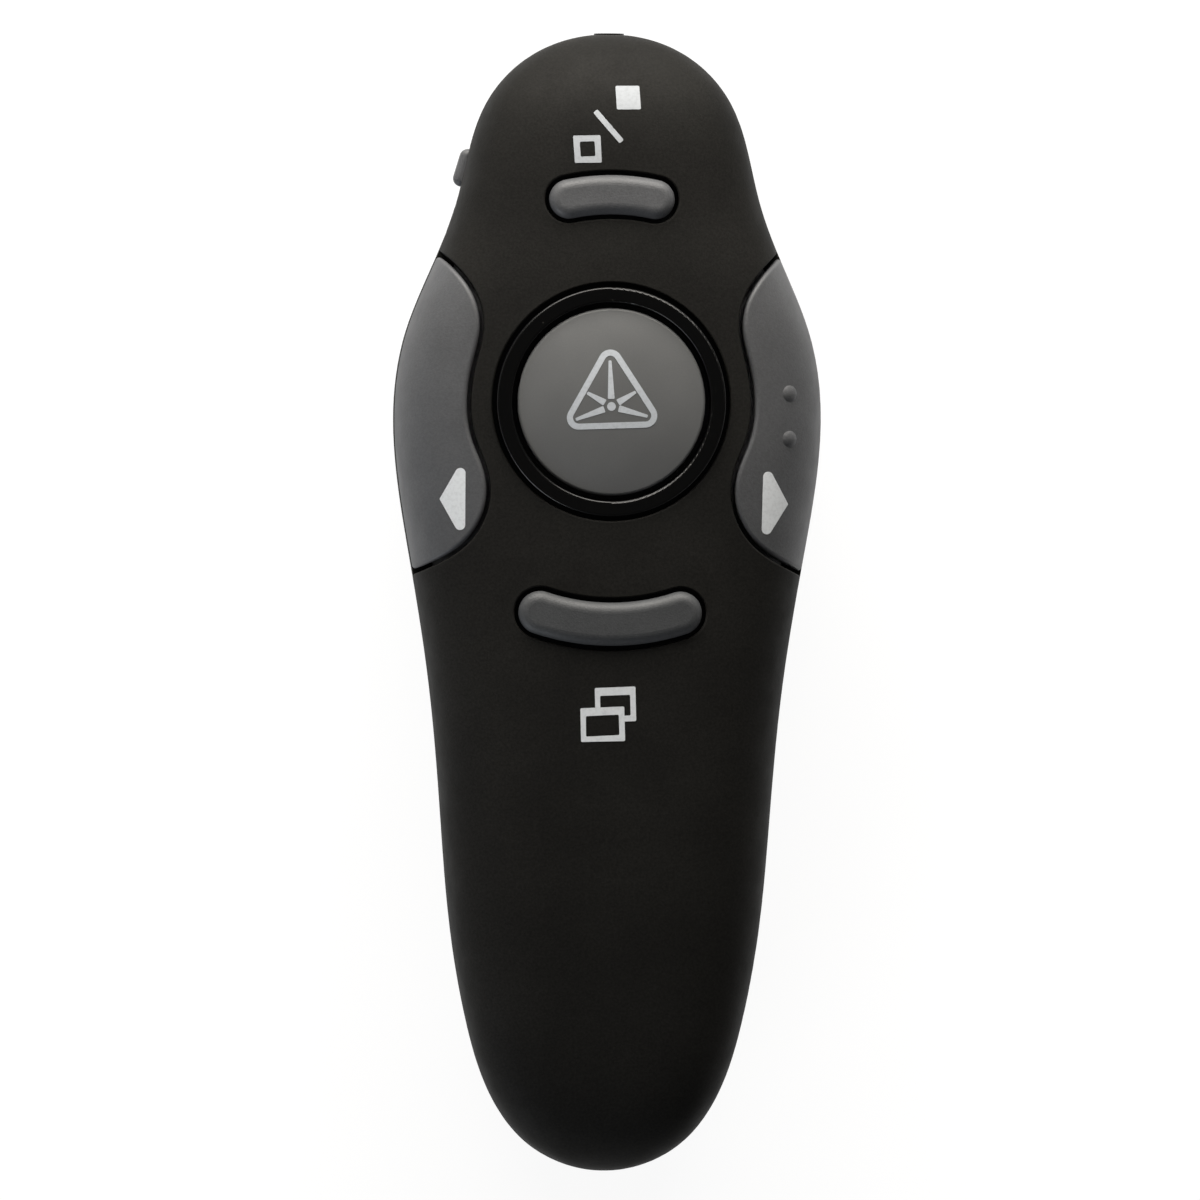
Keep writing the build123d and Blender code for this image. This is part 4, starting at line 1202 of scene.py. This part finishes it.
@dataclass
class Studio:
    """Pale floor, soft light and a camera straight above.

    Attributes:
        distance: Camera to parting plane, in metres.
        view_width: Width that the frame covers at the parting plane, in millimetres.
        aim: Point of the parting plane in the middle of the frame, in millimetres.
        parting: Height of the parting plane, in millimetres.
        lean: How far the camera leans over to the left side, in degrees.
        roll: Turn of the frame, in degrees.
        sensor: Width of the camera's sensor, in millimetres.
        clip: Nearest and farthest distance that the camera sees, in metres.
        zenith: Brightness of the sky straight above.
        horizon: Brightness of the sky near the floor.
        sky_fade: Heights between which the sky fades, where 1 is straight above.
        floor_reach: Half the side of the floor, in metres.
        floor_light: Share of the light that the floor sends back to the clicker.
        floor_shade: Share of the light that shows on the floor, where shadows fall.
        floor_glow: Brightness of the floor without that light.
        lamps: Soft boxes.
    """

    distance: float = 2.5
    view_width: float = 131.0
    aim: Point = (-0.65, 0.275)
    parting: float = 13.0
    lean: float = 2.1
    roll: float = 0.30
    sensor: float = 36.0
    clip: tuple[float, float] = (0.1, 20.0)
    zenith: float = 0.06
    horizon: float = 0.16
    sky_fade: tuple[float, float] = (0.1, 0.75)
    floor_reach: float = 3.5
    floor_light: float = 0.5
    floor_shade: float = 0.14
    floor_glow: float = 0.92
    lamps: tuple[Lamp, ...] = (
        Lamp("key_softbox", (-0.01, 0.36, 0.15), (0.44, 0.24), 4.0, Tone(255, 250, 243)),
        Lamp("left_softbox", (-0.6, -0.68, 0.22), (0.5, 0.36), 3.5, Tone(245, 249, 255)),
    )

    def camera(self) -> None:
        """Set the camera above the buttons."""
        target = Vector((self.aim[0] * MM, self.aim[1] * MM, self.parting * MM))
        lean = math.radians(self.lean)
        back = Vector((-math.sin(lean), 0, math.cos(lean)))
        right = Vector((0, 1, 0)).cross(back).normalized()
        up = back.cross(right)
        data = bpy.data.cameras.new("camera")
        data.sensor_width = self.sensor
        data.lens = data.sensor_width * self.distance / (self.view_width * MM)
        data.clip_start, data.clip_end = self.clip
        camera = bpy.data.objects.new("camera", data)
        turn = Matrix((right, up, back)).transposed() @ Matrix.Rotation(
            math.radians(self.roll), 3, "Z")
        camera.matrix_world = Matrix.Translation(target + back * self.distance) @ turn.to_4x4()
        bpy.context.scene.collection.objects.link(camera)
        bpy.context.scene.camera = camera

    def paper(self) -> bpy.types.Material:
        """Mix the floor's paper.

        Returns:
            White paper to the eye and in reflections, gray paper to the clicker, and nothing at
            all from below.
        """
        material = bpy.data.materials.new("floor_paper")
        tree = Tree(material)
        tree.nodes.clear()
        gray, shade = (tree.add("BsdfDiffuse", {"Color": (share, share, share, 1)})
                       for share in (self.floor_light, self.floor_shade))
        glow = tree.add("Emission", {"Strength": self.floor_glow})
        white = tree.add("AddShader", {0: shade, 1: glow})
        path = tree.nodes.new("ShaderNodeLightPath").outputs
        seen = tree.add("Math", {0: path["Is Camera Ray"], 1: path["Is Glossy Ray"]},
                        operation="MAXIMUM")
        seen = tree.add("Math", {0: seen, 1: path["Is Transmission Ray"]}, operation="MAXIMUM")
        above = tree.add("MixShader", {0: seen, 1: gray, 2: white})
        from_below = tree.add("NewGeometry", {}, "Backfacing")
        clear = tree.add("BsdfTransparent", {})
        both = tree.add("MixShader", {0: from_below, 1: above, 2: clear})
        output = tree.nodes.new("ShaderNodeOutputMaterial")
        tree.links.new(both, output.inputs["Surface"])
        return material

    def floor(self) -> None:
        """Lay the floor."""
        reach = self.floor_reach
        data = bpy.data.meshes.new("floor")
        data.from_pydata([(-reach, -reach, 0), (reach, -reach, 0), (reach, reach, 0),
                          (-reach, reach, 0)], [], [(0, 1, 2, 3)])
        data.materials.append(self.paper())
        floor = bpy.data.objects.new("floor", data)
        bpy.context.scene.collection.objects.link(floor)

    def sky(self) -> None:
        """Surround the clicker with light that fades from the horizon up."""
        world = bpy.data.worlds.new("studio_sky")
        tree = Tree(world)
        direction = tree.add("TexCoord", {}, "Generated")
        height = tree.add("SeparateXYZ", {"Vector": direction}, "Z")
        start, end = self.sky_fade
        fade = tree.add("MapRange", {"Value": height, "From Min": start, "From Max": end,
                                     "To Min": self.horizon, "To Max": self.zenith},
                        "Result", interpolation_type="SMOOTHSTEP")
        background = tree.nodes["Background"].inputs
        background["Color"].default_value = (1, 1, 1, 1)
        tree.links.new(fade, background["Strength"])
        bpy.context.scene.world = world

    def build(self) -> None:
        """Set up the floor, the light and the camera."""
        self.camera()
        self.floor()
        self.sky()
        for lamp in self.lamps:
            lamp.hang(Vector((0, 0, self.parting * MM)))
        bpy.context.scene.view_settings.view_transform = "Standard"
        LOG.info("studio: %d lamps", len(self.lamps))


def main() -> None:
    """Dress the clicker, sub-assembly by sub-assembly, and light it."""
    logging.basicConfig(level=logging.INFO, format="%(name)s %(message)s")
    Studio().build()
    Housing().dress()
    Buttons().dress()
    Symbols().build()
    Electronics().dress()
    Cells().dress()
    Laser().dress()
    Receiver().dress()
    Fasteners().dress()


if __name__ == "__main__":
    main()
